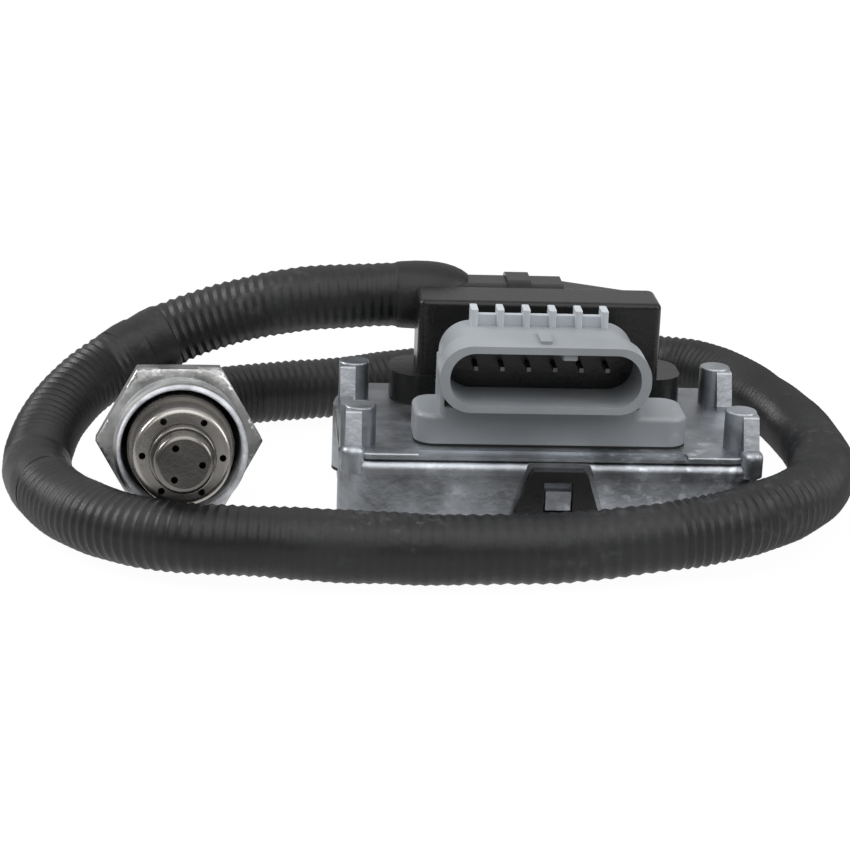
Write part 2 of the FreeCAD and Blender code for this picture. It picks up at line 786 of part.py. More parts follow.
def fins(body):
    """Six upright fins over the pins, tied by a low bar."""
    first = "(socket_x - pin_pitch * (pin_count - 1) / 2)"
    for i in range(SIZES["pin_count"]):
        centre = f"({first} + pin_pitch * {i})"
        slab(body, f"{centre} - fin_width / 2", f"{centre} + fin_width / 2", "-fin_front", "-socket_back",
             "fin_width / 3", f"{SHROUD_HIGH} - shroud_wall / 2", "fin_height + shroud_wall / 2 + band_step")
    slab(body, first, f"{first} + pin_pitch * (pin_count - 1)", "-(fin_front - fin_bar_depth)",
         "-(fin_front - 2 * fin_bar_depth)", "fin_bar_depth / 4", f"{SHROUD_HIGH} - shroud_wall / 2",
         "fin_bar_height + shroud_wall / 2 + band_step")


def keys(body):
    """The key on top of the shroud and the tab inside its mouth."""
    slab(body, "socket_x - key_width / 2", "socket_x + key_width / 2", "-(shroud_front - key_width)",
         "-(band_start - key_width)", "key_width / 4", f"{SHROUD_HIGH} - shroud_wall / 2",
         "shroud_wall / 2 + key_height")
    slab(body, "socket_x + key_width * 1.3", "socket_x + key_width * 2.6", "-(shroud_front - key_height)",
         "-band_start", "key_width / 4", f"{SHROUD_HIGH} - shroud_wall * 1.9", "shroud_wall * 1.4")


def pin_chamber(body):
    """The space behind the cavity for the pins' legs, open below, and the pins' passages."""
    sketch = new_sketch(body, "XY", SOCKET_BOTTOM)
    rear = "(socket_back + rear_wall)"
    draw_rounded(sketch, f"socket_x - {PIN_REACH}", f"socket_x + {PIN_REACH}",
                 "-(shroud_front - cavity_depth - rear_wall)", f"-{rear}", "pin_side / 2")
    pocket(body, sketch, f"{PIN_LEVEL} + pin_side * 2 - {SOCKET_BOTTOM}")
    sketch = new_sketch(body, "XZ", "shroud_front - cavity_depth - rear_wall")
    pin_passages(sketch)
    pocket(body, sketch, "rear_wall")


def pin_passages(sketch):
    """A square for each pin, larger than the pin by its clearance."""
    half = "(pin_side / 2 + pin_clearance)"
    for i in range(SIZES["pin_count"]):
        centre = f"(socket_x + pin_pitch * ({i} - (pin_count - 1) / 2))"
        left, right = f"{centre} - {half}", f"{centre} + {half}"
        low, high = f"{PIN_LEVEL} - {half}", f"{PIN_LEVEL} + {half}"
        draw_outline(sketch, [(left, low), (right, low), (right, high), (left, high)])


def pin_carrier():
    """The black insert at the bottom of the cavity that the pins come through."""
    body = new_body("pin_carrier")
    sketch = new_sketch(body, "XZ", "shroud_front - cavity_depth")
    shroud_section(sketch, "-(shroud_wall + band_narrowing / 2 + carrier_gap)", "-(shroud_wall + carrier_gap)")
    pad(body, sketch, "carrier_thickness")
    sketch = new_sketch(body, "XZ", "shroud_front - cavity_depth")
    pin_passages(sketch)
    pocket(body, sketch, "carrier_thickness")
    return body


def contact_pins():
    """Bent square pins: a blade into the shroud and a leg down to the board."""
    pins = []
    for i in range(SIZES["pin_count"]):
        left = f"socket_x + pin_pitch * ({i} - (pin_count - 1) / 2) - pin_side / 2"
        blade = box("blade", left, "-pin_tip", f"{PIN_LEVEL} - pin_side / 2", "pin_side",
                    "pin_tip - pin_leg + pin_side / 2", "pin_side")
        leg = box("leg", left, "-(pin_leg + pin_side / 2)", "board_bottom", "pin_side", "pin_side",
                  f"{PIN_LEVEL} + pin_side / 2 - board_bottom")
        pins.append(fuse("pin", [blade, leg]))
    return group("contact_pins", pins)


def flange_gasket(label, half, front, back, radius, hole):
    """A thin seal with a flange's outline and one opening."""
    body = new_body(label)
    slab(body, f"-{half}", half, front, back, radius, "housing_top", "gasket_thickness")
    sketch = new_sketch(body, "XY", "housing_top")
    draw_rounded(sketch, *hole, "lead_radius")
    pocket(body, sketch, "gasket_thickness")
    return body


def socket_gasket():
    return flange_gasket("socket_gasket", "flange_half", "-flange_front", "-flange_back", "flange_round",
                         PIN_OPENING)


# Hood

HOOD_DECK = f"({SOCKET_BOTTOM} + hood_flange_height)"
HOOD_LEFT = "(hood_x - hood_width / 2)"
HOOD_RIGHT = "(hood_x + hood_width / 2)"
CONDUIT_EXIT_Y = 22.1
CONDUIT_EXIT_Z = 28.0


def hood_gasket():
    return flange_gasket("hood_gasket", "hood_flange_half", "hood_front", "hood_back", "hood_round",
                         LEAD_OPENING)


def saddle_section(sketch, low, grow):
    """The rear saddle's side view: square below, rounded above."""
    draw_rounded(sketch, f"{CONDUIT_EXIT_Y} - saddle_radius", f"{CONDUIT_EXIT_Y} + saddle_radius",
                 low, f"saddle_top + ({grow})", "saddle_radius * 0.6")


def cable_hood():
    """Flange, box with bevelled top edges, and the saddle that takes the conduit."""
    body = new_body("cable_hood")
    slab(body, "-hood_flange_half", "hood_flange_half", "hood_front", "hood_back", "hood_round",
         SOCKET_BOTTOM, "hood_flange_height")
    slab(body, HOOD_LEFT, HOOD_RIGHT, "hood_front + hood_step", "hood_box_back", "hood_edge",
         SOCKET_BOTTOM, f"hood_top - {SOCKET_BOTTOM}")

    def top_edge(edge, middle):
        return near(middle.z, value("hood_top"))

    round_edges(body, "hood_edge * 0.7", top_edge)
    low = f"{CONDUIT_EXIT_Z} - saddle_radius"
    sketch = new_sketch(body, "YZ", "-saddle_left")
    saddle_section(sketch, low, "0")
    pad(body, sketch, "saddle_left + saddle_flat")
    sketch = new_sketch(body, "YZ", "saddle_flat")
    saddle_section(sketch, low, "-saddle_end_drop / 3")
    far = new_sketch(body, "YZ", "saddle_right")
    saddle_section(far, low, "-saddle_end_drop")
    loft = body.newObject("PartDesign::AdditiveLoft", "loft")
    loft.Profile = sketch
    loft.Sections = [far]
    doc.recompute()
    sketch = new_sketch(body, "YZ", "-ridge_left")
    saddle_section(sketch, low, "ridge_height")
    pad(body, sketch, "ridge_width")
    sketch = new_sketch(body, "XY", SOCKET_BOTTOM)
    draw_rounded(sketch, *LEAD_OPENING[:2], "hood_front + hood_step + hood_wall", "hood_box_back - hood_wall",
                 "lead_radius")
    pocket(body, sketch, f"hood_top - hood_wall - {SOCKET_BOTTOM}")
    sketch = new_sketch(body, "YZ", "-saddle_left")
    draw_circle(sketch, str(CONDUIT_EXIT_Y), str(CONDUIT_EXIT_Z), "entry_bore")
    pocket(body, sketch, f"saddle_left + lead_x + {LEAD_REACH}")
    sketch = new_sketch(body, "XZ", f"-({CONDUIT_EXIT_Y})")
    draw_rounded(sketch, *LEAD_OPENING[:2], f"{CONDUIT_EXIT_Z} - entry_bore - lead_radius * 2",
                 f"{CONDUIT_EXIT_Z} - entry_bore / 3", "lead_radius / 2")
    pocket(body, sketch, f"{CONDUIT_EXIT_Y} - (hood_box_back - hood_wall)")
    return body


def wire_grommet():
    """A rubber plug in the saddle's entry, behind the end of the conduit."""
    plug = cylinder("plug", "-saddle_left", str(CONDUIT_EXIT_Y), str(CONDUIT_EXIT_Z), "entry_bore - fit_gap",
                    "grommet_length", (1, 0, 0))
    bore = cylinder("bore", "-saddle_left", str(CONDUIT_EXIT_Y), str(CONDUIT_EXIT_Z), "bundle_radius + fit_gap",
                    "grommet_length", (1, 0, 0))
    return cut("wire_grommet", plug, bore)


def lead_wires():
    """The leads' bundle from the grommet, parted into leads that run down to the board."""
    spread = "(lead_pitch * (lead_count - 1) / 2 + lead_radius * 1.5)"
    pieces = [cylinder("bundle", "-saddle_left", str(CONDUIT_EXIT_Y), str(CONDUIT_EXIT_Z), "bundle_radius",
                       f"saddle_left + lead_x + {spread}", (1, 0, 0))]
    bend = value(f"{CONDUIT_EXIT_Z} - entry_bore * 0.75")
    for i in range(SIZES["lead_count"]):
        x = value(f"lead_x + lead_pitch * ({i} - (lead_count - 1) / 2)")
        route = [(x, CONDUIT_EXIT_Y, CONDUIT_EXIT_Z), (x, CONDUIT_EXIT_Y, bend), (x, value("lead_row"), bend),
                 (x, value("lead_row"), value(BOARD_TOP))]
        lead = doc.addObject("Part::Feature", "lead")
        lead.Shape = tube([FreeCAD.Vector(*p) for p in route], value("lead_radius"))[0]
        pieces.append(lead)
    return fuse("lead_wires", pieces)


# Probe, drawn along Z and then laid down

def probe_placement():
    """From the probe's own axis to where it lies, nose raised and turned a little."""
    yaw = FreeCAD.Rotation(FreeCAD.Vector(0, 0, 1), value("probe_yaw"))
    tip = FreeCAD.Rotation(FreeCAD.Vector(1, 0, 0), value("90 - probe_lift"))
    seat = FreeCAD.Vector(value("probe_x"), value("probe_y"), value("probe_z"))
    return FreeCAD.Placement(seat, yaw * tip)


def lay(piece):
    piece.Placement = probe_placement()
    return piece


def hex_nut():
    """Hexagon, thread core with relief and lead-in, stepped bore for the probe's seat."""
    body = new_body("hex_nut")
    sketch = new_sketch(body, "XY", "-hex_height")
    corner = "(hex_across_flats / sqrt(3))"
    flat = "(hex_across_flats / 2)"
    draw_outline(sketch, [(corner, "0"), (f"{corner} / 2", flat), (f"-{corner} / 2", flat),
                          (f"-{corner}", "0"), (f"-{corner} / 2", f"-{flat}"), (f"{corner} / 2", f"-{flat}")])
    pad(body, sketch, "hex_height")
    for face, inward in (("0", "-hex_edge"), ("-hex_height", "hex_edge")):
        revolve(body, [(f"{flat} - hex_edge / 4", face), (f"{corner} + hex_edge", face),
                       (f"{corner} + hex_edge", f"{face} + {inward}")], cut=True)
    core = "(thread_radius - thread_edge)"
    revolve(body, [("0", "-hex_height / 2"), (core, "-hex_height / 2"), (core, "thread_relief"),
                   ("thread_radius", "thread_relief + thread_edge / 2"),
                   ("thread_radius", "thread_length - thread_edge"), (core, "thread_length"),
                   ("0", "thread_length")])
    bore = "(shell_radius + running_gap)"
    revolve(body, [("0", "-hex_height * 1.5"), (bore, "-hex_height * 1.5"), (bore, "nut_shoulder"),
                   ("nut_mouth_radius", "nut_shoulder"), ("nut_mouth_radius", "thread_length + 1"),
                   ("0", "thread_length + 1")], cut=True)
    return lay(body)


def probe_shell():
    """Turned body: a bearing for the nut, the sealing seat, a spigot and a stepped bore."""
    body = new_body("probe_shell")
    seat_back = "(nut_shoulder + end_play)"
    spigot = "(outer_tube_radius - outer_tube_wall)"
    revolve(body, [("shell_bore", "-shell_back"), ("sleeve_seat", "-shell_back"),
                   ("sleeve_seat", "-(hex_height + end_play)"), ("shell_radius", "-(hex_height + end_play)"),
                   ("shell_radius", seat_back), ("seat_radius", seat_back),
                   ("seat_radius", "seat_front - end_play * 2"), ("seat_radius - end_play * 2", "seat_front"),
                   (spigot, "seat_front"), (spigot, "spigot_front"), ("shell_bore", "spigot_front")])
    return lay(body)


def outer_protection_tube():
    """Deep-drawn cup with a ring of gas holes round the inner tube."""
    body = new_body("outer_protection_tube")
    inside = "(outer_tube_radius - outer_tube_wall)"
    revolve(body, [(inside, "seat_front"), ("outer_tube_radius", "seat_front"),
                   ("outer_tube_radius", "outer_tube_front"), ("collar_radius + fit_gap", "outer_tube_front"),
                   ("collar_radius + fit_gap", "outer_tube_front - outer_tube_wall"),
                   (inside, "outer_tube_front - outer_tube_wall")])
    round_edges(body, "tube_round", lambda edge, middle: near(middle.z, value("outer_tube_front"))
                and near(math.hypot(middle.x, middle.y), value("outer_tube_radius")))
    drill_ring(body, "outer_tube_front - outer_tube_wall * 2", "hole_circle", "hole_count", "hole_turn")
    return lay(body)


def drill_ring(body, bottom, circle, count, turn):
    """A ring of gas holes through the end of a tube."""
    sketch = new_sketch(body, "XY", bottom)
    for i in range(SIZES[count]):
        angle = f"({turn} + 360 / {count} * {i})"
        draw_circle(sketch, f"{circle} * cos({angle})", f"{circle} * sin({angle})", "hole_radius")
    pocket(body, sketch, "outer_tube_wall * 3")


def inner_protection_tube():
    """Inner cup: a flange on the shell, the collar that shows in front, and the closed nose."""
    body = new_body("inner_protection_tube")
    wall = "inner_tube_wall"
    flange = "(outer_tube_radius - outer_tube_wall - fit_gap)"
    revolve(body, [(f"collar_radius - {wall}", "spigot_front"), (flange, "spigot_front"),
                   (flange, f"spigot_front + {wall}"), ("collar_radius", f"spigot_front + {wall}"),
                   ("collar_radius", "collar_front"), ("nose_radius", "collar_front"),
                   ("nose_radius", "nose_front"), ("0", "nose_front"), ("0", f"nose_front - {wall}"),
                   (f"nose_radius - {wall}", f"nose_front - {wall}"),
                   (f"nose_radius - {wall}", f"collar_front - {wall}"),
                   (f"collar_radius - {wall}", f"collar_front - {wall}")])
    round_edges(body, "tube_round", lambda edge, middle: near(middle.z, value("nose_front"))
                and near(math.hypot(middle.x, middle.y), value("nose_radius")))
    round_edges(body, "collar_round", lambda edge, middle: near(middle.z, value("collar_front"))
                and near(math.hypot(middle.x, middle.y), value("collar_radius")))
    drill_ring(body, "nose_front - outer_tube_wall * 2", "nose_hole_circle", "nose_hole_count", "nose_hole_turn")
    return lay(body)


def ring_in_shell(label, radius, back, front):
    """A packing ring round the sensing element."""
    body = new_body(label)
    revolve(body, [("0", back), (radius, back), (radius, front), ("0", front)])
    sketch = new_sketch(body, "XY", back)
    half_width, half_depth = "(element_width / 2 + fit_gap)", "(element_thickness / 2 + fit_gap)"
    draw_outline(sketch, [(f"-{half_width}", f"-{half_depth}"), (half_width, f"-{half_depth}"),
                          (half_width, half_depth), (f"-{half_width}", half_depth)])
    pocket(body, sketch, f"({front}) - ({back})")
    return lay(body)


def sensing_element():
    body = new_body("sensing_element")
    sketch = new_sketch(body, "XY", "-element_back")
    half_width, half_depth = "(element_width / 2)", "(element_thickness / 2)"
    draw_outline(sketch, [(f"-{half_width}", f"-{half_depth}"), (half_width, f"-{half_depth}"),
                          (half_width, half_depth), (f"-{half_width}", half_depth)])
    pad(body, sketch, "element_front + element_back")
    return lay(body)


def packing():
    """Ceramic, talc and ceramic in the shell, and the contact clamp behind it."""
    radius = "shell_bore - fit_gap"
    return [ring_in_shell("front_bush", radius, "0", "bush_front"),
            ring_in_shell("talc_ring", radius, "-talc_back", "0"),
            ring_in_shell("rear_bush", radius, "-bush_back", "-talc_back"),
            ring_in_shell("contact_clamp", "clamp_radius", "-clamp_back", "-clamp_front")]


def rear_sleeve():
    """Drawn sleeve with the collar that keeps the nut on."""
    body = new_body("rear_sleeve")
    front = "-(hex_height + end_play)"
    inside = "(sleeve_seat + fit_gap)"
    revolve(body, [(inside, "-sleeve_back"), ("sleeve_radius", "-sleeve_back"),
                   ("sleeve_radius", f"{front} - sleeve_collar_length"),
                   ("sleeve_collar_radius", f"{front} - sleeve_collar_length"),
                   ("sleeve_collar_radius", front), (inside, front)])
    return lay(body)


def lead_ring(body, bottom, length, radius):
    """Round holes for the probe's leads."""
    sketch = new_sketch(body, "XY", bottom)
    for i in range(SIZES["probe_lead_count"]):
        angle = f"(360 / probe_lead_count * {i})"
        draw_circle(sketch, f"probe_lead_circle * cos({angle})", f"probe_lead_circle * sin({angle})", radius)
    return sketch, length


def bored_plug(label, radius, back, front):
    """A rubber plug that the leads pass through."""
    body = new_body(label)
    revolve(body, [("0", back), (radius, back), (radius, front), ("0", front)])
    sketch, length = lead_ring(body, back, f"({front}) - ({back})", "probe_lead_radius + fit_gap")
    pocket(body, sketch, length)
    return lay(body)


def probe_leads():
    body = new_body("probe_leads")
    sketch, length = lead_ring(body, "-boot_back", "boot_back - clamp_back", "probe_lead_radius")
    pad(body, sketch, length)
    return lay(body)


# Conduit

# The route's points, from the hood's saddle round the unit to the back of the probe.
ROUTE = [
    (-12.9, 22.1, 28.0), (-25.6, 22.1, 28.0), (-41.0, 22.5, 26.5), (-55.5, 22.3, 22.2),
    (-67.8, 19.6, 16.4), (-76.2, 10.5, 11.2), (-79.0, -1.2, 6.0), (-76.3, -13.1, 5.4),
    (-69.3, -25.5, 5.6), (-58.3, -34.7, 6.3), (-45.0, -36.9, 6.6), (-30.5, -36.9, 5.8),
    (-14.0, -36.7, 5.4), (2.0, -35.0, 5.5), (15.0, -33.2, 6.6), (28.0, -30.4, 8.2),
    (38.4, -21.2, 8.6), (44.0, -7.2, 7.6), (46.2, 7.5, 6.4), (46.4, 23.0, 5.6),
    (44.0, 38.5, 5.4), (39.7, 53.0, 5.4), (30.5, 63.0, 5.4), (15.5, 63.0, 5.4),
    (-1.0, 57.2, 5.4), (-17.0, 50.6, 5.4), (-30.0, 43.9, 5.4), (-40.0, 41.2, 5.4),
    (-48.4, 38.2, 5.4), (-54.8, 32.6, 5.4),
]


def probe_point(distance):
    """A point on the probe's axis behind the hexagon's front face."""
    return probe_placement().multVec(FreeCAD.Vector(0, 0, -distance))


def conduit_points():
    """The chosen points, then two on the probe's own axis that end at the boot's face."""
    points = [FreeCAD.Vector(*p) for p in ROUTE]
    points += [probe_point(value("boot_back + conduit_last_run")), probe_point(value("boot_back"))]
    return points


def conduit():
    """A plain round tube along the route; its corrugation is too fine for a solid."""
    radius = value("conduit_diameter") / 2
    solid, path, radii = tube(conduit_points(), radius)
    print("conduit radii", " ".join(f"{r:.1f}" for r in radii))
    print(f"conduit length {path.Length:.1f}, lowest point {solid.optimalBoundingBox(False, False).ZMin:.2f}")
    expected = math.pi * radius ** 2 * path.Length
    print(f"conduit volume {solid.Volume:.0f} against {expected:.0f}")
    if abs(solid.Volume - expected) > 0.01 * expected:
        raise RuntimeError("the conduit's volume is off")
    piece = doc.addObject("Part::Feature", "conduit")
    piece.Label = "conduit"
    piece.Shape = solid
    return piece


# The whole part

nodes = [control_housing(), base_cover(), cover_seal(), circuit_board(), board_screws()]
nodes += board_chips()
nodes += [plug_socket(), pin_carrier(), socket_gasket(), contact_pins()]
nodes += [cable_hood(), hood_gasket(), wire_grommet(), lead_wires()]
nodes += [hex_nut(), probe_shell(), outer_protection_tube(), inner_protection_tube(), sensing_element()]
nodes += packing()
nodes += [rear_sleeve(), bored_plug("cable_grommet", "sleeve_seat", "-sleeve_back", "sleeve_grip - sleeve_back")]
nodes += [bored_plug("conduit_boot", "boot_radius", "-boot_back", "-sleeve_back"), probe_leads()]
doc.recompute()
nodes.append(conduit())

for thing in doc.Objects:
    if "Invalid" in thing.State or "Error" in thing.State:
        raise RuntimeError(f"{thing.Name} ({thing.Label}) failed: {thing.State}")
for node in nodes:
    if node.Shape.isNull() or not node.Shape.isValid():
        raise RuntimeError(f"{node.Label} has no valid shape")

os.makedirs("parts", exist_ok=True)
for node in nodes:
    node.Shape.exportStep(f"parts/{node.Label}.step")
    print(f"{node.Label}: {len(node.Shape.Solids)} solids, {node.Shape.Volume:.1f} mm3")
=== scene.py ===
"""Finishes, conduit, thread, camera and stage for the exhaust gas sensor."""

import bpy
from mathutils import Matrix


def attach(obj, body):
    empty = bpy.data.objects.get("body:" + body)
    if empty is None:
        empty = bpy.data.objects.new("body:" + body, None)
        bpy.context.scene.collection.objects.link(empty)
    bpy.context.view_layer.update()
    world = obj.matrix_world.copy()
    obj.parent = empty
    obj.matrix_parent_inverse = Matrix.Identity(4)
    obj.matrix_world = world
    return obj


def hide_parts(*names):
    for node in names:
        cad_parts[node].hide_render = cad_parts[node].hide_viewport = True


bl_info = {
    "name": "Exhaust Gas Sensor",
    "version": (1, 0, 0),
    "blender": (4, 5, 0),
    "location": "View3D > Sidebar > Gas Sensor",
    "description": "Dresses the sensor's frame with its finishes, conduit and stage",
    "category": "Add Mesh",
}

import math

import bpy
from mathutils import Matrix, Vector

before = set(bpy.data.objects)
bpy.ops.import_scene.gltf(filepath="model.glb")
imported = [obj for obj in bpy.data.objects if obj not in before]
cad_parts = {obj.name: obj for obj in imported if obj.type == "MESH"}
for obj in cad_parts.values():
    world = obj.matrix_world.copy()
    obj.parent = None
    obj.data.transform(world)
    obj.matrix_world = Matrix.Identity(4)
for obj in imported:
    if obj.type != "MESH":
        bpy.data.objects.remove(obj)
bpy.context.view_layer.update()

MM = 0.001

# Conduit route, the same points as the solid's, in millimetres

ROUTE = [
    (-12.9, 22.1, 28.0), (-25.6, 22.1, 28.0), (-41.0, 22.5, 26.5), (-55.5, 22.3, 22.2),
    (-67.8, 19.6, 16.4), (-76.2, 10.5, 11.2), (-79.0, -1.2, 6.0), (-76.3, -13.1, 5.4),
    (-69.3, -25.5, 5.6), (-58.3, -34.7, 6.3), (-45.0, -36.9, 6.6), (-30.5, -36.9, 5.8),
    (-14.0, -36.7, 5.4), (2.0, -35.0, 5.5), (15.0, -33.2, 6.6), (28.0, -30.4, 8.2),
    (38.4, -21.2, 8.6), (44.0, -7.2, 7.6), (46.2, 7.5, 6.4), (46.4, 23.0, 5.6),
    (44.0, 38.5, 5.4), (39.7, 53.0, 5.4), (30.5, 63.0, 5.4), (15.5, 63.0, 5.4),
    (-1.0, 57.2, 5.4), (-17.0, 50.6, 5.4), (-30.0, 43.9, 5.4), (-40.0, 41.2, 5.4),
    (-48.4, 38.2, 5.4), (-54.8, 32.6, 5.4), (-57.852, 25.918, 5.649), (-57.472, 17.875, 7.2),
]

# Stretches of the conduit: how far from the hood each one ends, its ridges' pitch and depth, in millimetres

STRETCHES = (
    (12.0, 1.45, 0.14), (30.0, 1.5, 0.22), (46.0, 1.45, 0.34), (58.0, 1.45, 0.16), (84.0, 1.3, 0.34),
    (96.0, 1.3, 0.14), (142.0, 1.5, 0.26), (166.0, 1.6, 0.16), (198.0, 2.0, 0.26), (420.0, 1.35, 0.32),
)

# Tape on the conduit: how far from the hood each piece begins and ends, in millimetres

TAPES = (("hump_tape", 47.0, 56.0), ("bend_tape", 85.5, 94.5))

# Scuffs and painted highlights on the conduit's top: middle and reach, in millimetres

SCUFFS_AND_HIGHLIGHTS = (((-22.0, -39.0, 10.4), 5.0), ((-30.0, -38.0, 10.8), 4.0), ((-73.5, -12.0, 10.4), 5.0))

# Rings of the conduit's end at the hood: distance from the hood in millimetres, share of the conduit's radius

END_RINGS = ((0.0, 0.84), (1.2, 0.93), (2.4, 0.98), (3.6, 1.0))

# Rings of the wrap over that end: distance from the hood and radius, in millimetres

WRAP_RINGS = (
    (-2.6, 3.6), (-1.6, 4.3), (-0.4, 4.85), (1.0, 5.25), (2.4, 5.52), (4.0, 5.66), (6.0, 5.68), (8.2, 5.6),
    (9.0, 5.5), (9.3, 5.3),
)

# Dents of the conduit: size and depth in millimetres, and the share of the depth that goes inwards

DENT_SIZE = 14.0
DENT_DEPTH = 0.7
DENT_INWARDS = 0.69

# Tape: how far it sinks into the ridges, in millimetres, and how its laps slant, in degrees

TAPE_SINK = 0.03
TAPE_SLANT = 11.0

# Middle of the hexagon's front face and the way the probe points

PROBE_FACE = (-56.2, -9.1, 12.4)
PROBE_AXIS = (0.046258, -0.980865, 0.189095)

# Faces of the fitting's thread and bore, in millimetres: radius from and to, and distance past the hexagon. On the
# thread the zinc is its own finish; on the bore wall it is painted light in a recess that lies in shade

THREAD_AND_PAINTED_BORE_FACES = (8.5, 10.05, 2.6)

# How far the thread's cutter reaches past the crests, as a multiple of the groove

CUTTER_REACH = 1.25

# The socket's ribs: their height at the top and where their front begins, in millimetres; the faces there get a
# lighter copy of the socket's nylon as painted light

RIB_HEIGHT = 2.3
RIB_FRONT = -6.4

# Camera: place in millimetres, direction and roll in degrees

CAMERA_PLACE = (-48.3, -391.4, 136.5)
CAMERA_AHEAD = (0.0732, 0.9509, -0.3007)
CAMERA_ROLL = 2.2

# Lamps: name, place and side in metres, power in watts

LAMPS = (
    ("top_lamp", (0.0, 0.05, 0.62), 1.2, 0.9), ("left_lamp", (-0.62, 0.2, 0.4), 0.25, 2.2),
    ("right_lamp", (0.6, -0.2, 0.4), 0.4, 1.7), ("front_lamp", (-0.05, -0.4, 0.64), 0.8, 3.0),
)


# Settings that a user would change

class ConduitSettings(bpy.types.PropertyGroup):
    diameter: bpy.props.FloatProperty(
        name="Diameter", description="Outside diameter over the ridges", default=10.7 * MM,
        min=1 * MM, max=40 * MM, unit="LENGTH", subtype="DISTANCE")
    tape_lap: bpy.props.FloatProperty(
        name="Tape lap", description="Distance from one turn of the tape to the next", default=4.5 * MM,
        min=1 * MM, max=20 * MM, unit="LENGTH", subtype="DISTANCE")
    tape_edge: bpy.props.FloatProperty(
        name="Tape edge", description="Height of a lap's edge over the turn below it", default=0.2 * MM,
        min=0, max=1 * MM, unit="LENGTH", subtype="DISTANCE")
    sides: bpy.props.IntProperty(
        name="Sides", description="Faces round the conduit", default=36, min=8, max=96)
    colour: bpy.props.FloatVectorProperty(
        name="Colour", description="Colour of the conduit", subtype="COLOR", size=3,
        default=(0.0098, 0.0101, 0.0108), min=0, max=1)


class ThreadSettings(bpy.types.PropertyGroup):
    pitch: bpy.props.FloatProperty(
        name="Pitch", description="Distance from one turn of the fitting's thread to the next", default=1.5 * MM,
        min=0.5 * MM, max=3 * MM, unit="LENGTH", subtype="DISTANCE")
    radius: bpy.props.FloatProperty(
        name="Radius", description="Major radius of the thread", default=10.0 * MM,
        min=2 * MM, max=40 * MM, unit="LENGTH", subtype="DISTANCE")
    depth: bpy.props.FloatProperty(
        name="Depth", description="Depth of the groove between two turns", default=0.64 * MM,
        min=0.1 * MM, max=2 * MM, unit="LENGTH", subtype="DISTANCE")
    width: bpy.props.FloatProperty(
        name="Width", description="Width of the groove at the crests", default=1.2 * MM,
        min=0.1 * MM, max=3 * MM, unit="LENGTH", subtype="DISTANCE")
    start: bpy.props.FloatProperty(
        name="Start", description="Where the groove begins, from the hexagon's face", default=0.8 * MM,
        min=0, max=10 * MM, unit="LENGTH", subtype="DISTANCE")
    turns: bpy.props.IntProperty(
        name="Turns", description="Turns of the groove", default=7, min=1, max=20)


class FinishSettings(bpy.types.PropertyGroup):
    casting: bpy.props.FloatVectorProperty(
        name="Casting", description="Colour of the cast control unit", subtype="COLOR", size=3,
        default=(0.42, 0.44, 0.47), min=0, max=1)
    connector: bpy.props.FloatVectorProperty(
        name="Connector", description="Colour of the plug socket", subtype="COLOR", size=3,
        default=(0.285, 0.304, 0.322), min=0, max=1)
    moulding: bpy.props.FloatVectorProperty(
        name="Black moulding", description="Colour of the hood and the base cover", subtype="COLOR", size=3,
        default=(0.008, 0.008, 0.008), min=0, max=1)
    steel: bpy.props.FloatVectorProperty(
        name="Probe steel", description="Colour of the probe's tubes", subtype="COLOR", size=3,
        default=(0.42, 0.40, 0.375), min=0, max=1)
    nut: bpy.props.FloatVectorProperty(
        name="Nut", description="Colour of the plated hexagonal nut", subtype="COLOR", size=3,
        default=(0.47, 0.47, 0.465), min=0, max=1)


class StageSettings(bpy.types.PropertyGroup):
    floor_size: bpy.props.FloatProperty(
        name="Floor size", description="Side of the square floor", default=6.0, min=1, max=20,
        unit="LENGTH", subtype="DISTANCE")
    floor_colour: bpy.props.FloatVectorProperty(
        name="Floor colour", description="Colour of the floor", subtype="COLOR", size=3,
        default=(0.4, 0.4, 0.4), min=0, max=1)
    lens: bpy.props.FloatProperty(
        name="Lens", description="Focal length of the camera", default=111.47, min=20, max=300,
        subtype="DISTANCE_CAMERA")


def settings():
    return bpy.context.scene.gas_sensor


# Nodes and materials

def new_material(name):
    material = bpy.data.materials.new(name)
    material.use_nodes = True
    return material, material.node_tree.nodes, material.node_tree.links


def group_of(name, inputs, outputs):
    """An empty shader node group with its sockets, and its input and output nodes."""
    group = bpy.data.node_groups.new(name, "ShaderNodeTree")
    for label, kind, value in inputs:
        socket = group.interface.new_socket(label, in_out="INPUT", socket_type=kind)
        if value is not None:
            socket.default_value = value
    for label, kind in outputs:
        group.interface.new_socket(label, in_out="OUTPUT", socket_type=kind)
    return group, group.nodes.new("NodeGroupInput"), group.nodes.new("NodeGroupOutput")


def feed(links, socket, value):
    """Links a socket to another, or sets it to a number."""
    if isinstance(value, bpy.types.NodeSocket):
        links.new(value, socket)
    else:
        socket.default_value = value


def spread(nodes, links, value, low, high, bottom=0.0, top=1.0):
    """Stretches a value between two limits to the span from bottom to top."""
    reach = nodes.new("ShaderNodeMapRange")
    for label, number in (("Value", value), ("From Min", low), ("From Max", high), ("To Min", bottom),
                          ("To Max", top)):
        feed(links, reach.inputs[label], number)
    return reach.outputs["Result"]


def maths(nodes, links, operation, *values):
    """The result of a math node over sockets and numbers."""
    node = nodes.new("ShaderNodeMath")
    node.operation = operation
    for socket, value in zip(node.inputs, values):
        feed(links, socket, value)
    return node.outputs["Value"]


def noise(nodes, links, place, scale, detail):
    """Noise in object coordinates; the scale is a number or a socket."""
    texture = nodes.new("ShaderNodeTexNoise")
    texture.inputs["Detail"].default_value = detail
    links.new(place, texture.inputs["Vector"])
    feed(links, texture.inputs["Scale"], scale)
    return texture.outputs["Fac"]


def mixed(nodes, links, factor, first, second):
    blend = nodes.new("ShaderNodeMix")
    blend.data_type = "RGBA"
    links.new(factor, blend.inputs["Factor"])
    links.new(first, blend.inputs["A"])
    links.new(second, blend.inputs["B"])
    return blend.outputs["Result"]


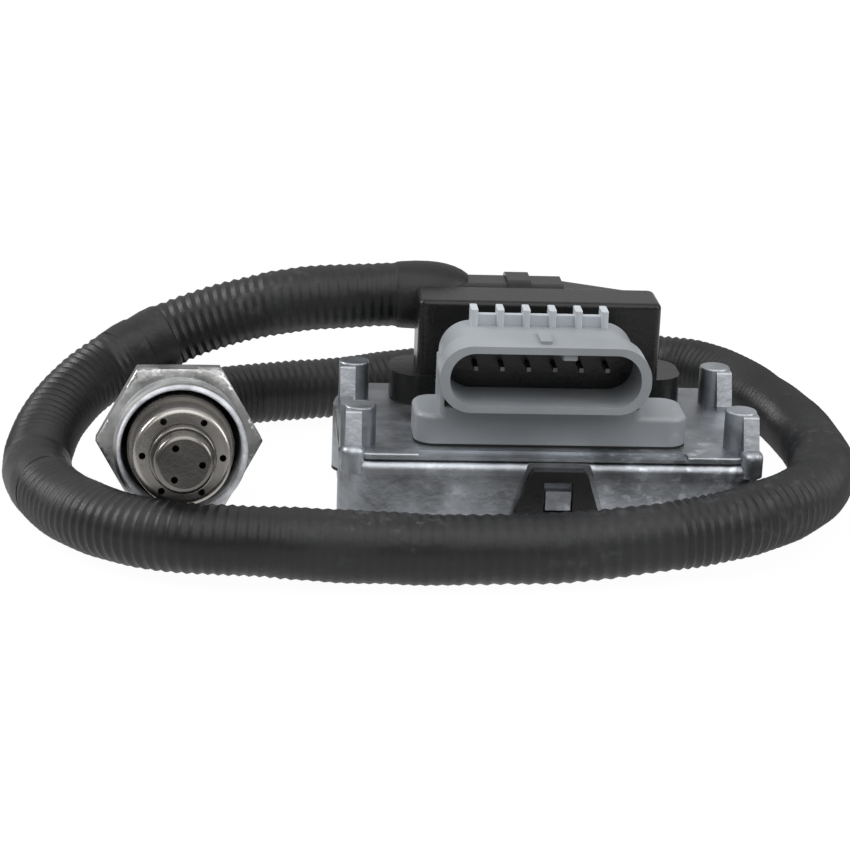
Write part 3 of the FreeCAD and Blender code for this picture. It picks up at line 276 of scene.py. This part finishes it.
def grain_group():
    """Mottle, scuff marks, roughness and bump from noise in object coordinates."""
    group, inside, outside = group_of(
        "Grain",
        [("Dark", "NodeSocketColor", (0.1, 0.1, 0.1, 1)), ("Light", "NodeSocketColor", (0.2, 0.2, 0.2, 1)),
         ("Mark", "NodeSocketColor", (0.4, 0.4, 0.4, 1)), ("Marks", "NodeSocketFloat", 0.0),
         ("Blotch", "NodeSocketFloat", 90.0), ("Scale", "NodeSocketFloat", 400.0),
         ("Height", "NodeSocketFloat", 0.1), ("Smooth", "NodeSocketFloat", 0.3), ("Rough", "NodeSocketFloat", 0.6)],
        [("Color", "NodeSocketColor"), ("Roughness", "NodeSocketFloat"), ("Normal", "NodeSocketVector")])
    nodes, links = group.nodes, group.links
    place = nodes.new("ShaderNodeTexCoord").outputs["Object"]
    broad = spread(nodes, links, noise(nodes, links, place, inside.outputs["Blotch"], 5.0), 0.34, 0.66)
    fine = noise(nodes, links, place, inside.outputs["Scale"], 3.0)
    patches = spread(nodes, links, noise(nodes, links, place, 42.0, 2.0), 0.52, 0.64)
    specks = spread(nodes, links, noise(nodes, links, place, 560.0, 3.0), 0.54, 0.68)
    marks = maths(nodes, links, "MULTIPLY", maths(nodes, links, "MULTIPLY", patches, specks),
                  inside.outputs["Marks"])
    ground = mixed(nodes, links, broad, inside.outputs["Dark"], inside.outputs["Light"])
    links.new(mixed(nodes, links, marks, ground, inside.outputs["Mark"]), outside.inputs["Color"])
    mean = maths(nodes, links, "MULTIPLY_ADD", broad, 0.5, maths(nodes, links, "MULTIPLY", fine, 0.5))
    links.new(spread(nodes, links, mean, 0.0, 1.0, inside.outputs["Smooth"], inside.outputs["Rough"]),
              outside.inputs["Roughness"])
    bump = nodes.new("ShaderNodeBump")
    bump.inputs["Distance"].default_value = 0.0002
    links.new(inside.outputs["Height"], bump.inputs["Strength"])
    links.new(fine, bump.inputs["Height"])
    links.new(bump.outputs["Normal"], outside.inputs["Normal"])
    return group


def grained(name, dark, light, scale, height, rough, metallic=0.0, gloss=0.5, mark=None, marks=0.0, blotch=90.0):
    """A material with the shared grain; rough is the span of its roughness."""
    material, nodes, links = new_material(name)
    shader = nodes["Principled BSDF"]
    shader.inputs["Metallic"].default_value = metallic
    shader.inputs["Specular IOR Level"].default_value = gloss
    grain = nodes.new("ShaderNodeGroup")
    grain.node_tree = bpy.data.node_groups.get("Grain") or grain_group()
    for label, value in (("Dark", (*dark, 1)), ("Light", (*light, 1)), ("Mark", (*(mark or light), 1)),
                         ("Marks", marks), ("Blotch", blotch), ("Scale", scale), ("Height", height),
                         ("Smooth", rough[0]), ("Rough", rough[1])):
        grain.inputs[label].default_value = value
    links.new(grain.outputs["Color"], shader.inputs["Base Color"])
    links.new(grain.outputs["Normal"], shader.inputs["Normal"])
    links.new(grain.outputs["Roughness"], shader.inputs["Roughness"])
    return material


def shade(colour, factor):
    return tuple(min(1.0, c * factor) for c in colour)


def dress(names, material):
    """Gives the named CAD nodes a material."""
    for name in names:
        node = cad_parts[name]
        node.data.materials.clear()
        node.data.materials.append(material)


def deselect():
    if bpy.context.object and bpy.context.object.mode != "OBJECT":
        bpy.ops.object.mode_set(mode="OBJECT")
    bpy.ops.object.select_all(action="DESELECT")


def pick(thing):
    """Makes the thing the only one selected."""
    deselect()
    thing.select_set(True)
    bpy.context.view_layer.objects.active = thing


def smooth(thing, angle):
    pick(thing)
    bpy.ops.object.shade_smooth_by_angle(angle=math.radians(angle))


def apply_modifiers(thing):
    pick(thing)
    for modifier in list(thing.modifiers):
        bpy.ops.object.modifier_apply(modifier=modifier.name)


# Operators

class CameraOperator(bpy.types.Operator):
    """Places the camera where the product was photographed from"""
    bl_idname = "gas_sensor.camera"
    bl_label = "Camera"

    def execute(self, context):
        place = Vector(CAMERA_PLACE) * MM
        ahead = Vector(CAMERA_AHEAD).normalized()
        roll = math.radians(CAMERA_ROLL)
        level = ahead.cross(Vector((0, 0, 1))).normalized()
        upright = level.cross(ahead)
        right = level * math.cos(roll) + upright * math.sin(roll)
        up = right.cross(ahead)
        bpy.ops.object.camera_add()
        camera = context.object
        camera.name = "photo_camera"
        camera.data.sensor_width = 36.0
        camera.data.lens = settings().stage.lens
        camera.data.clip_start = 0.01
        turn = Matrix((right, up, -ahead)).transposed()
        camera.matrix_world = Matrix.Translation(place) @ turn.to_4x4()
        context.scene.camera = camera
        return {"FINISHED"}


def route_curve():
    """The conduit's centreline as a smooth spline."""
    curve = bpy.data.curves.new("conduit_route", "CURVE")
    curve.dimensions = "3D"
    curve.resolution_u = 24
    spline = curve.splines.new("NURBS")
    spline.points.add(len(ROUTE) - 1)
    for point, place in zip(spline.points, ROUTE):
        point.co = (*(Vector(place) * MM), 1)
    spline.order_u = 3
    spline.use_endpoint_u = True
    route = bpy.data.objects.new("conduit_route", curve)
    bpy.context.scene.collection.objects.link(route)
    return route


def points_along(route):
    """The spline's own points, evenly close, with no bevel."""
    mesh = bpy.data.meshes.new_from_object(route)
    points = [vertex.co.copy() for vertex in mesh.vertices]
    bpy.data.meshes.remove(mesh)
    return points


def ringed_tube(sides, start, radius, steps, slant=0.0):
    """An open tube along X: a ring, extruded by each step's distance and brought to its radius."""
    deselect()
    bpy.ops.mesh.primitive_circle_add(vertices=sides, radius=radius, location=(start, 0, 0),
                                      rotation=(0, math.pi / 2, slant))
    tube = bpy.context.object
    bpy.ops.object.transform_apply(location=True, rotation=True, scale=False)
    bpy.ops.object.mode_set(mode="EDIT")
    for distance, larger in steps:
        bpy.ops.mesh.extrude_region_move(TRANSFORM_OT_translate={"value": (distance, 0, 0)})
        bpy.ops.transform.resize(value=(1, larger / radius, larger / radius))
        radius = larger
    bpy.ops.object.mode_set(mode="OBJECT")
    return tube


def tube_through(chosen, rings, unit):
    """A tube through rings: each one's distance from the hood in millimetres, and its radius in the unit."""
    steps = [((there - here) * MM, size * unit) for (here, _), (there, size) in zip(rings, rings[1:])]
    return ringed_tube(chosen.sides, rings[0][0] * MM, rings[0][1] * unit, steps)


def ridged_stretch(chosen, start, end, pitch, depth):
    """A straight stretch of conduit along X: one ridge, repeated."""
    count = round((end - start) / pitch)
    step = (end - start) / count
    outer = chosen.diameter / 2
    radii = (outer - depth / 2, outer - depth, outer - depth / 2, outer)
    stretch = ringed_tube(chosen.sides, start, outer, [(step / 4, radius) for radius in radii])
    repeat(stretch, count, step)
    return stretch


def hood_wrap(chosen):
    """The wrapped end over the hood's saddle, narrowing past the conduit's end."""
    wrap = tube_through(chosen, WRAP_RINGS, MM)
    wrap.name = "hood_wrap"
    close(wrap)
    return wrap


def repeat(piece, count, step):
    """Repeats a ring of the piece along X and merges the copies."""
    copies = piece.modifiers.new("copies", "ARRAY")
    copies.count = count
    copies.use_relative_offset = False
    copies.use_constant_offset = True
    copies.constant_offset_displace = (step, 0, 0)
    copies.use_merge_vertices = True
    copies.merge_threshold = step / 50
    apply_modifiers(piece)


def close(piece):
    """Merges the doubles, caps the open ends and turns the faces outwards."""
    pick(piece)
    bpy.ops.object.mode_set(mode="EDIT")
    bpy.ops.mesh.select_all(action="SELECT")
    bpy.ops.mesh.remove_doubles(threshold=0.01 * MM)
    bpy.ops.mesh.fill_holes(sides=0)
    bpy.ops.mesh.select_all(action="SELECT")
    bpy.ops.mesh.normals_make_consistent(inside=False)
    bpy.ops.object.mode_set(mode="OBJECT")


def lay_along(piece, route, lumps):
    """Gives a straight piece its dents and lays it along the route."""
    dents = piece.modifiers.new("dents", "DISPLACE")
    dents.texture = lumps
    dents.texture_coords = "LOCAL"
    dents.mid_level = DENT_INWARDS
    dents.strength = DENT_DEPTH * MM
    bend = piece.modifiers.new("lay", "CURVE")
    bend.object = route
    bend.deform_axis = "POS_X"
    apply_modifiers(piece)
    smooth(piece, 40)


def tape(chosen, name, start, end):
    """Cloth tape wound round the conduit, each turn lapping the last."""
    count = round((end - start) / chosen.tape_lap)
    step = (end - start) / count
    low = chosen.diameter / 2 - TAPE_SINK * MM
    high = low + chosen.tape_edge
    steps = ((0.12 * step, high), (0.38 * step, high), (0.5 * step, low))
    wound = ringed_tube(chosen.sides, start, low, steps, math.radians(TAPE_SLANT))
    wound.name = name
    repeat(wound, count, step)
    close(wound)
    return wound


class ConduitOperator(bpy.types.Operator):
    """Lays the ridged conduit and its tape from the hood round the unit to the probe"""
    bl_idname = "gas_sensor.conduit"
    bl_label = "Conduit"

    def execute(self, context):
        chosen = settings().conduit
        route = route_curve()
        points = points_along(route)
        length = sum((b - a).length for a, b in zip(points, points[1:]))
        lumps = bpy.data.textures.new("dents", "CLOUDS")
        lumps.noise_scale = DENT_SIZE * MM
        stretches = [tube_through(chosen, END_RINGS, chosen.diameter / 2)]
        start = END_RINGS[-1][0] * MM
        for end, pitch, depth in STRETCHES:
            end = min(end * MM, length)
            stretches.append(ridged_stretch(chosen, start, end, pitch * MM, depth * MM))
            start = end
        deselect()
        for stretch in stretches:
            stretch.select_set(True)
        context.view_layer.objects.active = stretches[0]
        bpy.ops.object.join()
        conduit = context.object
        conduit.name = "corrugated_conduit"
        close(conduit)
        lay_along(conduit, route, lumps)
        conduit.data.materials.append(conduit_finish(chosen))
        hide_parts("conduit")
        tapes = [hood_wrap(chosen)]
        tapes += [tape(chosen, name, begin * MM, end * MM) for name, begin, end in TAPES]
        cloth = tape_finish(chosen)
        for wound in tapes:
            lay_along(wound, route, lumps)
            wound.data.materials.append(cloth)
        for piece in (conduit, *tapes):
            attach(piece, "sensor")
        bpy.data.objects.remove(route)
        return {"FINISHED"}


def conduit_finish(chosen):
    """Dull black ridged sleeve, scuffed grey where it has been handled and dragged, with grey marks at listed places
    on its top that are partly scuffs and partly painted highlight.
    """
    material = grained("conduit_sleeve", shade(chosen.colour, 0.45), shade(chosen.colour, 1.6), 900.0, 0.35,
                       (0.36, 0.56), gloss=0.42, mark=shade(chosen.colour, 7), marks=0.4, blotch=70.0)
    nodes, links = material.node_tree.nodes, material.node_tree.links
    shader = nodes["Principled BSDF"]
    ground = shader.inputs["Base Color"].links[0].from_socket
    place = nodes.new("ShaderNodeTexCoord").outputs["Object"]
    # Grey specks near the listed places on the conduit's top: partly scuff wear, partly painted highlight.
    specks = spread(nodes, links, noise(nodes, links, place, 480.0, 4.0), 0.55, 0.72)
    near = 0.0
    for centre, reach in SCUFFS_AND_HIGHLIGHTS:
        offset = nodes.new("ShaderNodeVectorMath")
        offset.operation = "DISTANCE"
        offset.inputs[1].default_value = Vector(centre) * MM
        links.new(place, offset.inputs[0])
        inside = spread(nodes, links, offset.outputs["Value"], reach * MM, 0.0)
        near = maths(nodes, links, "MAXIMUM", near, inside)
    scuff_and_highlight = nodes.new("ShaderNodeRGB")
    scuff_and_highlight.outputs["Color"].default_value = (*shade(chosen.colour, 13), 1)
    share = maths(nodes, links, "MULTIPLY", specks, near)
    links.new(mixed(nodes, links, share, ground, scuff_and_highlight.outputs["Color"]), shader.inputs["Base Color"])
    return material


def tape_finish(chosen):
    return grained("tape_cloth", shade(chosen.colour, 0.45), shade(chosen.colour, 1.3), 1300.0, 0.4,
                   (0.36, 0.55), gloss=0.4, mark=shade(chosen.colour, 10), marks=0.6, blotch=110.0)


def ring_of(node, middle, along, inner, outer, beyond):
    """The node's faces between two radii about an axis, past a distance along it."""
    for polygon in node.data.polygons:
        offset = polygon.center - middle
        reach = offset.dot(along)
        if inner < (offset - along * reach).length < outer and reach > beyond:
            yield polygon


class MetalOperator(bpy.types.Operator):
    """Gives the casting, the fitting and the probe their metal finishes, with painted shade on the dark contact pins
    and painted light on the fitting's bore wall
    """
    bl_idname = "gas_sensor.metals"
    bl_label = "Metals"

    def execute(self, context):
        colours = settings().finish
        dress(["control_housing"],
              grained("cast_alloy", shade(colours.casting, 0.54), shade(colours.casting, 1.18), 900.0, 0.4,
                      (0.34, 0.52), metallic=1.0, mark=shade(colours.casting, 2.0), marks=0.6, blotch=110.0))
        dress(["hex_nut"],
              grained("plated_steel", shade(colours.nut, 0.55), shade(colours.nut, 1.3), 1200.0, 0.35,
                      (0.26, 0.46), metallic=1.0, mark=(0.85, 0.87, 0.9), marks=0.7, blotch=130.0))
        dress(["rear_sleeve", "board_screws"],
              grained("drawn_steel", shade(colours.steel, 0.9), shade(colours.steel, 1.3), 1200.0, 0.2,
                      (0.25, 0.4), metallic=1.0))
        dress(["probe_shell", "outer_protection_tube"],
              grained("probe_steel", shade(colours.steel, 0.78), shade(colours.steel, 1.1), 1500.0, 0.1,
                      (0.24, 0.33), metallic=1.0, blotch=90.0))
        dress(["inner_protection_tube"],
              grained("nose_steel", shade(colours.steel, 0.36), shade(colours.steel, 0.48), 1500.0, 0.08,
                      (0.18, 0.25), metallic=1.0, blotch=120.0))
        # The contact pins are coloured far darker than tin, as painted shade for their place deep in the socket's
        # cavity.
        dress(["contact_pins"], grained("tinned_pins_painted_shade", (0.06, 0.06, 0.063), (0.13, 0.13, 0.13), 1500.0, 0.05,
                                        (0.3, 0.45), metallic=1.0))
        dress(["power_capacitors"], grained("capacitor_cans", (0.5, 0.5, 0.5), (0.6, 0.6, 0.6), 1500.0, 0.05,
                                            (0.35, 0.45), metallic=1.0))
        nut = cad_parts["hex_nut"]
        nut.data.materials.append(
            grained("zinc_thread_and_painted_light_bore", (0.42, 0.43, 0.46), (0.8, 0.82, 0.86), 1400.0, 1.0, (0.5, 0.7),
                    metallic=0.5, mark=(0.2, 0.2, 0.2), marks=0.5, blotch=260.0))
        # The bore wall takes the light zinc too, as painted light where the recess lies in shade; on the thread the
        # zinc is its own finish.
        inner, outer, beyond = (limit * MM for limit in THREAD_AND_PAINTED_BORE_FACES)
        for polygon in ring_of(nut, Vector(PROBE_FACE) * MM, Vector(PROBE_AXIS), inner, outer, beyond):
            polygon.material_index = 1
        for name in ("control_housing", "hex_nut", "rear_sleeve", "probe_shell", "outer_protection_tube",
                     "inner_protection_tube"):
            smooth(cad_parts[name], 35)
        return {"FINISHED"}


def thread_cutter(chosen):
    """A triangular groove's solid, wound about Z as a right-hand helix."""
    deselect()
    bpy.ops.mesh.primitive_circle_add(vertices=3, radius=1, rotation=(math.pi / 2, -math.pi / 2, 0))
    cutter = bpy.context.object
    cutter.name = "thread_cutter"
    bpy.ops.object.transform_apply(location=False, rotation=True, scale=False)
    high = chosen.depth * CUTTER_REACH / 1.5
    cutter.scale = (high, 1, chosen.width * CUTTER_REACH / math.sqrt(3))
    cutter.location = (chosen.radius - chosen.depth + high, 0, 0)
    bpy.ops.object.transform_apply(location=True, rotation=False, scale=True)
    winding = cutter.modifiers.new("winding", "SCREW")
    winding.axis = "Z"
    winding.angle = math.tau
    winding.screw_offset = chosen.pitch
    winding.iterations = chosen.turns
    winding.steps = winding.render_steps = 64
    apply_modifiers(cutter)
    close(cutter)
    axis = Vector(PROBE_AXIS)
    cutter.location = Vector(PROBE_FACE) * MM + axis * chosen.start
    cutter.rotation_euler = axis.to_track_quat("Z", "Y").to_euler()
    return cutter


class ThreadOperator(bpy.types.Operator):
    """Cuts the turns of the fitting's thread, which the solid has as a plain cylinder"""
    bl_idname = "gas_sensor.thread"
    bl_label = "Thread"

    def execute(self, context):
        cutter = thread_cutter(settings().thread)
        nut = bpy.data.objects.new("threaded_nut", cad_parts["hex_nut"].data.copy())
        context.scene.collection.objects.link(nut)
        turns = nut.modifiers.new("turns", "BOOLEAN")
        turns.operation = "DIFFERENCE"
        turns.solver = "EXACT"
        turns.object = cutter
        apply_modifiers(nut)
        bpy.data.objects.remove(cutter)
        bpy.ops.object.mode_set(mode="EDIT")
        bpy.ops.mesh.select_all(action="SELECT")
        bpy.ops.mesh.dissolve_degenerate(threshold=0.002 * MM)
        bpy.ops.object.mode_set(mode="OBJECT")
        smooth(nut, 35)
        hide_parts("hex_nut")
        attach(nut, "fitting")
        return {"FINISHED"}


class MouldingOperator(bpy.types.Operator):
    """Gives the connector, the hood, the cover and the seals their finishes, with painted light on the socket's top
    ribs and painted shade in the black pin carrier at the back of its cavity
    """
    bl_idname = "gas_sensor.mouldings"
    bl_label = "Mouldings"

    def execute(self, context):
        colours = settings().finish
        dress(["plug_socket"],
              grained("grey_nylon", shade(colours.connector, 0.88), shade(colours.connector, 1.1), 1600.0, 0.12,
                      (0.32, 0.46), mark=shade(colours.connector, 1.6), marks=0.25, blotch=60.0))
        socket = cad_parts["plug_socket"]
        # A lighter copy of the socket's nylon on its top ribs, as painted light.
        socket.data.materials.append(
            grained("fin_nylon_painted_light", shade(colours.connector, 1.7), shade(colours.connector, 1.85), 1600.0, 0.12,
                    (0.32, 0.46)))
        rib_foot = max(vertex.co.z for vertex in socket.data.vertices) - RIB_HEIGHT * MM
        for polygon in socket.data.polygons:
            if polygon.center.z > rib_foot and polygon.center.y > RIB_FRONT * MM:
                polygon.material_index = 1
        dress(["base_cover"],
              grained("cover_nylon", shade(colours.moulding, 1.4), shade(colours.moulding, 2.6), 1400.0, 0.25,
                      (0.3, 0.45), gloss=0.4, mark=shade(colours.moulding, 8), marks=0.3, blotch=80.0))
        # The pin carrier at the back of the socket's cavity is black partly as its own colour and partly as painted
        # shade; the hood's black is its own colour.
        dress(["cable_hood", "pin_carrier"],
              grained("black_nylon_and_painted_shade", shade(colours.moulding, 0.8), shade(colours.moulding, 2.0), 1400.0, 0.25,
                      (0.22, 0.36), gloss=0.32, mark=shade(colours.moulding, 7), marks=0.3, blotch=80.0))
        rubber = grained("seal_rubber", (0.009, 0.009, 0.009), (0.017, 0.017, 0.017), 1000.0, 0.2, (0.6, 0.75),
                         gloss=0.35)
        dress(["cover_seal", "socket_gasket", "hood_gasket", "wire_grommet", "cable_grommet", "conduit_boot"], rubber)
        dress(["lead_wires", "probe_leads"], grained("lead_jacket", (0.03, 0.03, 0.03), (0.05, 0.05, 0.05), 1000.0,
                                                     0.05, (0.4, 0.5)))
        for name in ("plug_socket", "cable_hood", "base_cover"):
            smooth(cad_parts[name], 35)
        return {"FINISHED"}


class InsideOperator(bpy.types.Operator):
    """Gives the board, what it carries and the probe's packing their finishes"""
    bl_idname = "gas_sensor.inside"
    bl_label = "Inside"

    def execute(self, context):
        dress(["circuit_board"], grained("board_lacquer", (0.01, 0.09, 0.04), (0.015, 0.13, 0.06), 500.0, 0.05,
                                         (0.3, 0.4)))
        dress(["processor_chip", "driver_chips"], grained("chip_package", (0.02, 0.02, 0.02), (0.03, 0.03, 0.03),
                                                          1500.0, 0.1, (0.5, 0.6)))
        dress(["thermal_pad"], grained("pad_silicone", (0.3, 0.35, 0.45), (0.4, 0.45, 0.55), 900.0, 0.1,
                                       (0.65, 0.75)))
        dress(["sensing_element", "front_bush", "rear_bush", "contact_clamp"],
              grained("ceramic", (0.78, 0.77, 0.73), (0.86, 0.85, 0.82), 800.0, 0.05, (0.45, 0.55)))
        dress(["talc_ring"], grained("talc", (0.6, 0.6, 0.58), (0.7, 0.7, 0.68), 900.0, 0.3, (0.8, 0.9)))
        return {"FINISHED"}


def floor_material(colour):
    """A pale floor that shows nearly white to the camera and keeps the shadow."""
    material, nodes, links = new_material("floor_paper")
    shader = nodes["Principled BSDF"]
    shader.inputs["Base Color"].default_value = (*colour, 1)
    shader.inputs["Roughness"].default_value = 0.9
    shader.inputs["Specular IOR Level"].default_value = 0.0
    glow = nodes.new("ShaderNodeEmission")
    glow.inputs["Strength"].default_value = 1.1
    rays = nodes.new("ShaderNodeLightPath")
    mirrored = maths(nodes, links, "MULTIPLY", rays.outputs["Is Glossy Ray"], 0.75)
    share = maths(nodes, links, "MULTIPLY_ADD", rays.outputs["Is Camera Ray"], 0.88, mirrored)
    mix = nodes.new("ShaderNodeMixShader")
    links.new(share, mix.inputs["Fac"])
    links.new(shader.outputs["BSDF"], mix.inputs[1])
    links.new(glow.outputs["Emission"], mix.inputs[2])
    links.new(mix.outputs["Shader"], nodes["Material Output"].inputs["Surface"])
    return material


def studio_world(context):
    """White to the camera; as a light it fades from above and behind to below."""
    world = bpy.data.worlds.new("studio")
    context.scene.world = world
    world.use_nodes = True
    nodes, links = world.node_tree.nodes, world.node_tree.links
    soft = nodes["Background"]
    soft.inputs["Color"].default_value = (1, 1, 1, 1)
    place = nodes.new("ShaderNodeTexCoord")
    parts = nodes.new("ShaderNodeSeparateXYZ")
    links.new(place.outputs["Generated"], parts.inputs["Vector"])
    level = maths(nodes, links, "MULTIPLY_ADD", parts.outputs["Y"], 0.3, parts.outputs["Z"])
    links.new(spread(nodes, links, level, -0.35, 1.0, 0.12, 0.66), soft.inputs["Strength"])
    white = nodes.new("ShaderNodeBackground")
    white.inputs["Color"].default_value = (1, 1, 1, 1)
    white.inputs["Strength"].default_value = 1.0
    rays = nodes.new("ShaderNodeLightPath")
    mix = nodes.new("ShaderNodeMixShader")
    links.new(rays.outputs["Is Camera Ray"], mix.inputs["Fac"])
    links.new(soft.outputs["Background"], mix.inputs[1])
    links.new(white.outputs["Background"], mix.inputs[2])
    links.new(mix.outputs["Shader"], nodes["World Output"].inputs["Surface"])


class StageOperator(bpy.types.Operator):
    """Makes the pale floor and the soft studio light"""
    bl_idname = "gas_sensor.stage"
    bl_label = "Stage"

    def execute(self, context):
        chosen = settings().stage
        deselect()
        bpy.ops.mesh.primitive_plane_add(size=chosen.floor_size)
        floor = context.object
        floor.name = "floor"
        floor.data.materials.append(floor_material(chosen.floor_colour))
        studio_world(context)
        for name, place, size, power in LAMPS:
            deselect()
            bpy.ops.object.light_add(type="AREA", location=place)
            lamp = context.object
            lamp.name = name
            lamp.data.shape = "SQUARE"
            lamp.data.size = size
            lamp.data.energy = power
            lamp.rotation_euler = (Vector((0, 0, 0.01)) - Vector(place)).to_track_quat("-Z", "Y").to_euler()
        context.scene.view_settings.view_transform = "Standard"
        return {"FINISHED"}


class GasSensorSettings(bpy.types.PropertyGroup):
    conduit: bpy.props.PointerProperty(type=ConduitSettings)
    thread: bpy.props.PointerProperty(type=ThreadSettings)
    finish: bpy.props.PointerProperty(type=FinishSettings)
    stage: bpy.props.PointerProperty(type=StageSettings)


class GasSensorPanel(bpy.types.Panel):
    """Lists the sensor's pieces and their settings"""
    bl_idname = "VIEW3D_PT_gas_sensor"
    bl_label = "Gas Sensor"
    bl_space_type = "VIEW_3D"
    bl_region_type = "UI"
    bl_category = "Gas Sensor"

    def draw(self, context):
        for group in (settings().conduit, settings().thread, settings().finish, settings().stage):
            box = self.layout.box()
            for name in group.bl_rna.properties.keys():
                if name not in ("rna_type", "name"):
                    box.prop(group, name)
        for piece in PIECES:
            self.layout.operator(piece.bl_idname)


PIECES = (CameraOperator, ConduitOperator, MetalOperator, ThreadOperator, MouldingOperator, InsideOperator,
          StageOperator)
CLASSES = (ConduitSettings, ThreadSettings, FinishSettings, StageSettings, GasSensorSettings, *PIECES,
           GasSensorPanel)


def register():
    for cls in CLASSES:
        bpy.utils.register_class(cls)
    bpy.types.Scene.gas_sensor = bpy.props.PointerProperty(type=GasSensorSettings)


def unregister():
    del bpy.types.Scene.gas_sensor
    for cls in reversed(CLASSES):
        bpy.utils.unregister_class(cls)


def main():
    register()
    bpy.ops.gas_sensor.camera()
    bpy.ops.gas_sensor.conduit()
    bpy.ops.gas_sensor.metals()
    bpy.ops.gas_sensor.thread()
    bpy.ops.gas_sensor.mouldings()
    bpy.ops.gas_sensor.inside()
    bpy.ops.gas_sensor.stage()


if __name__ == "__main__":
    main()
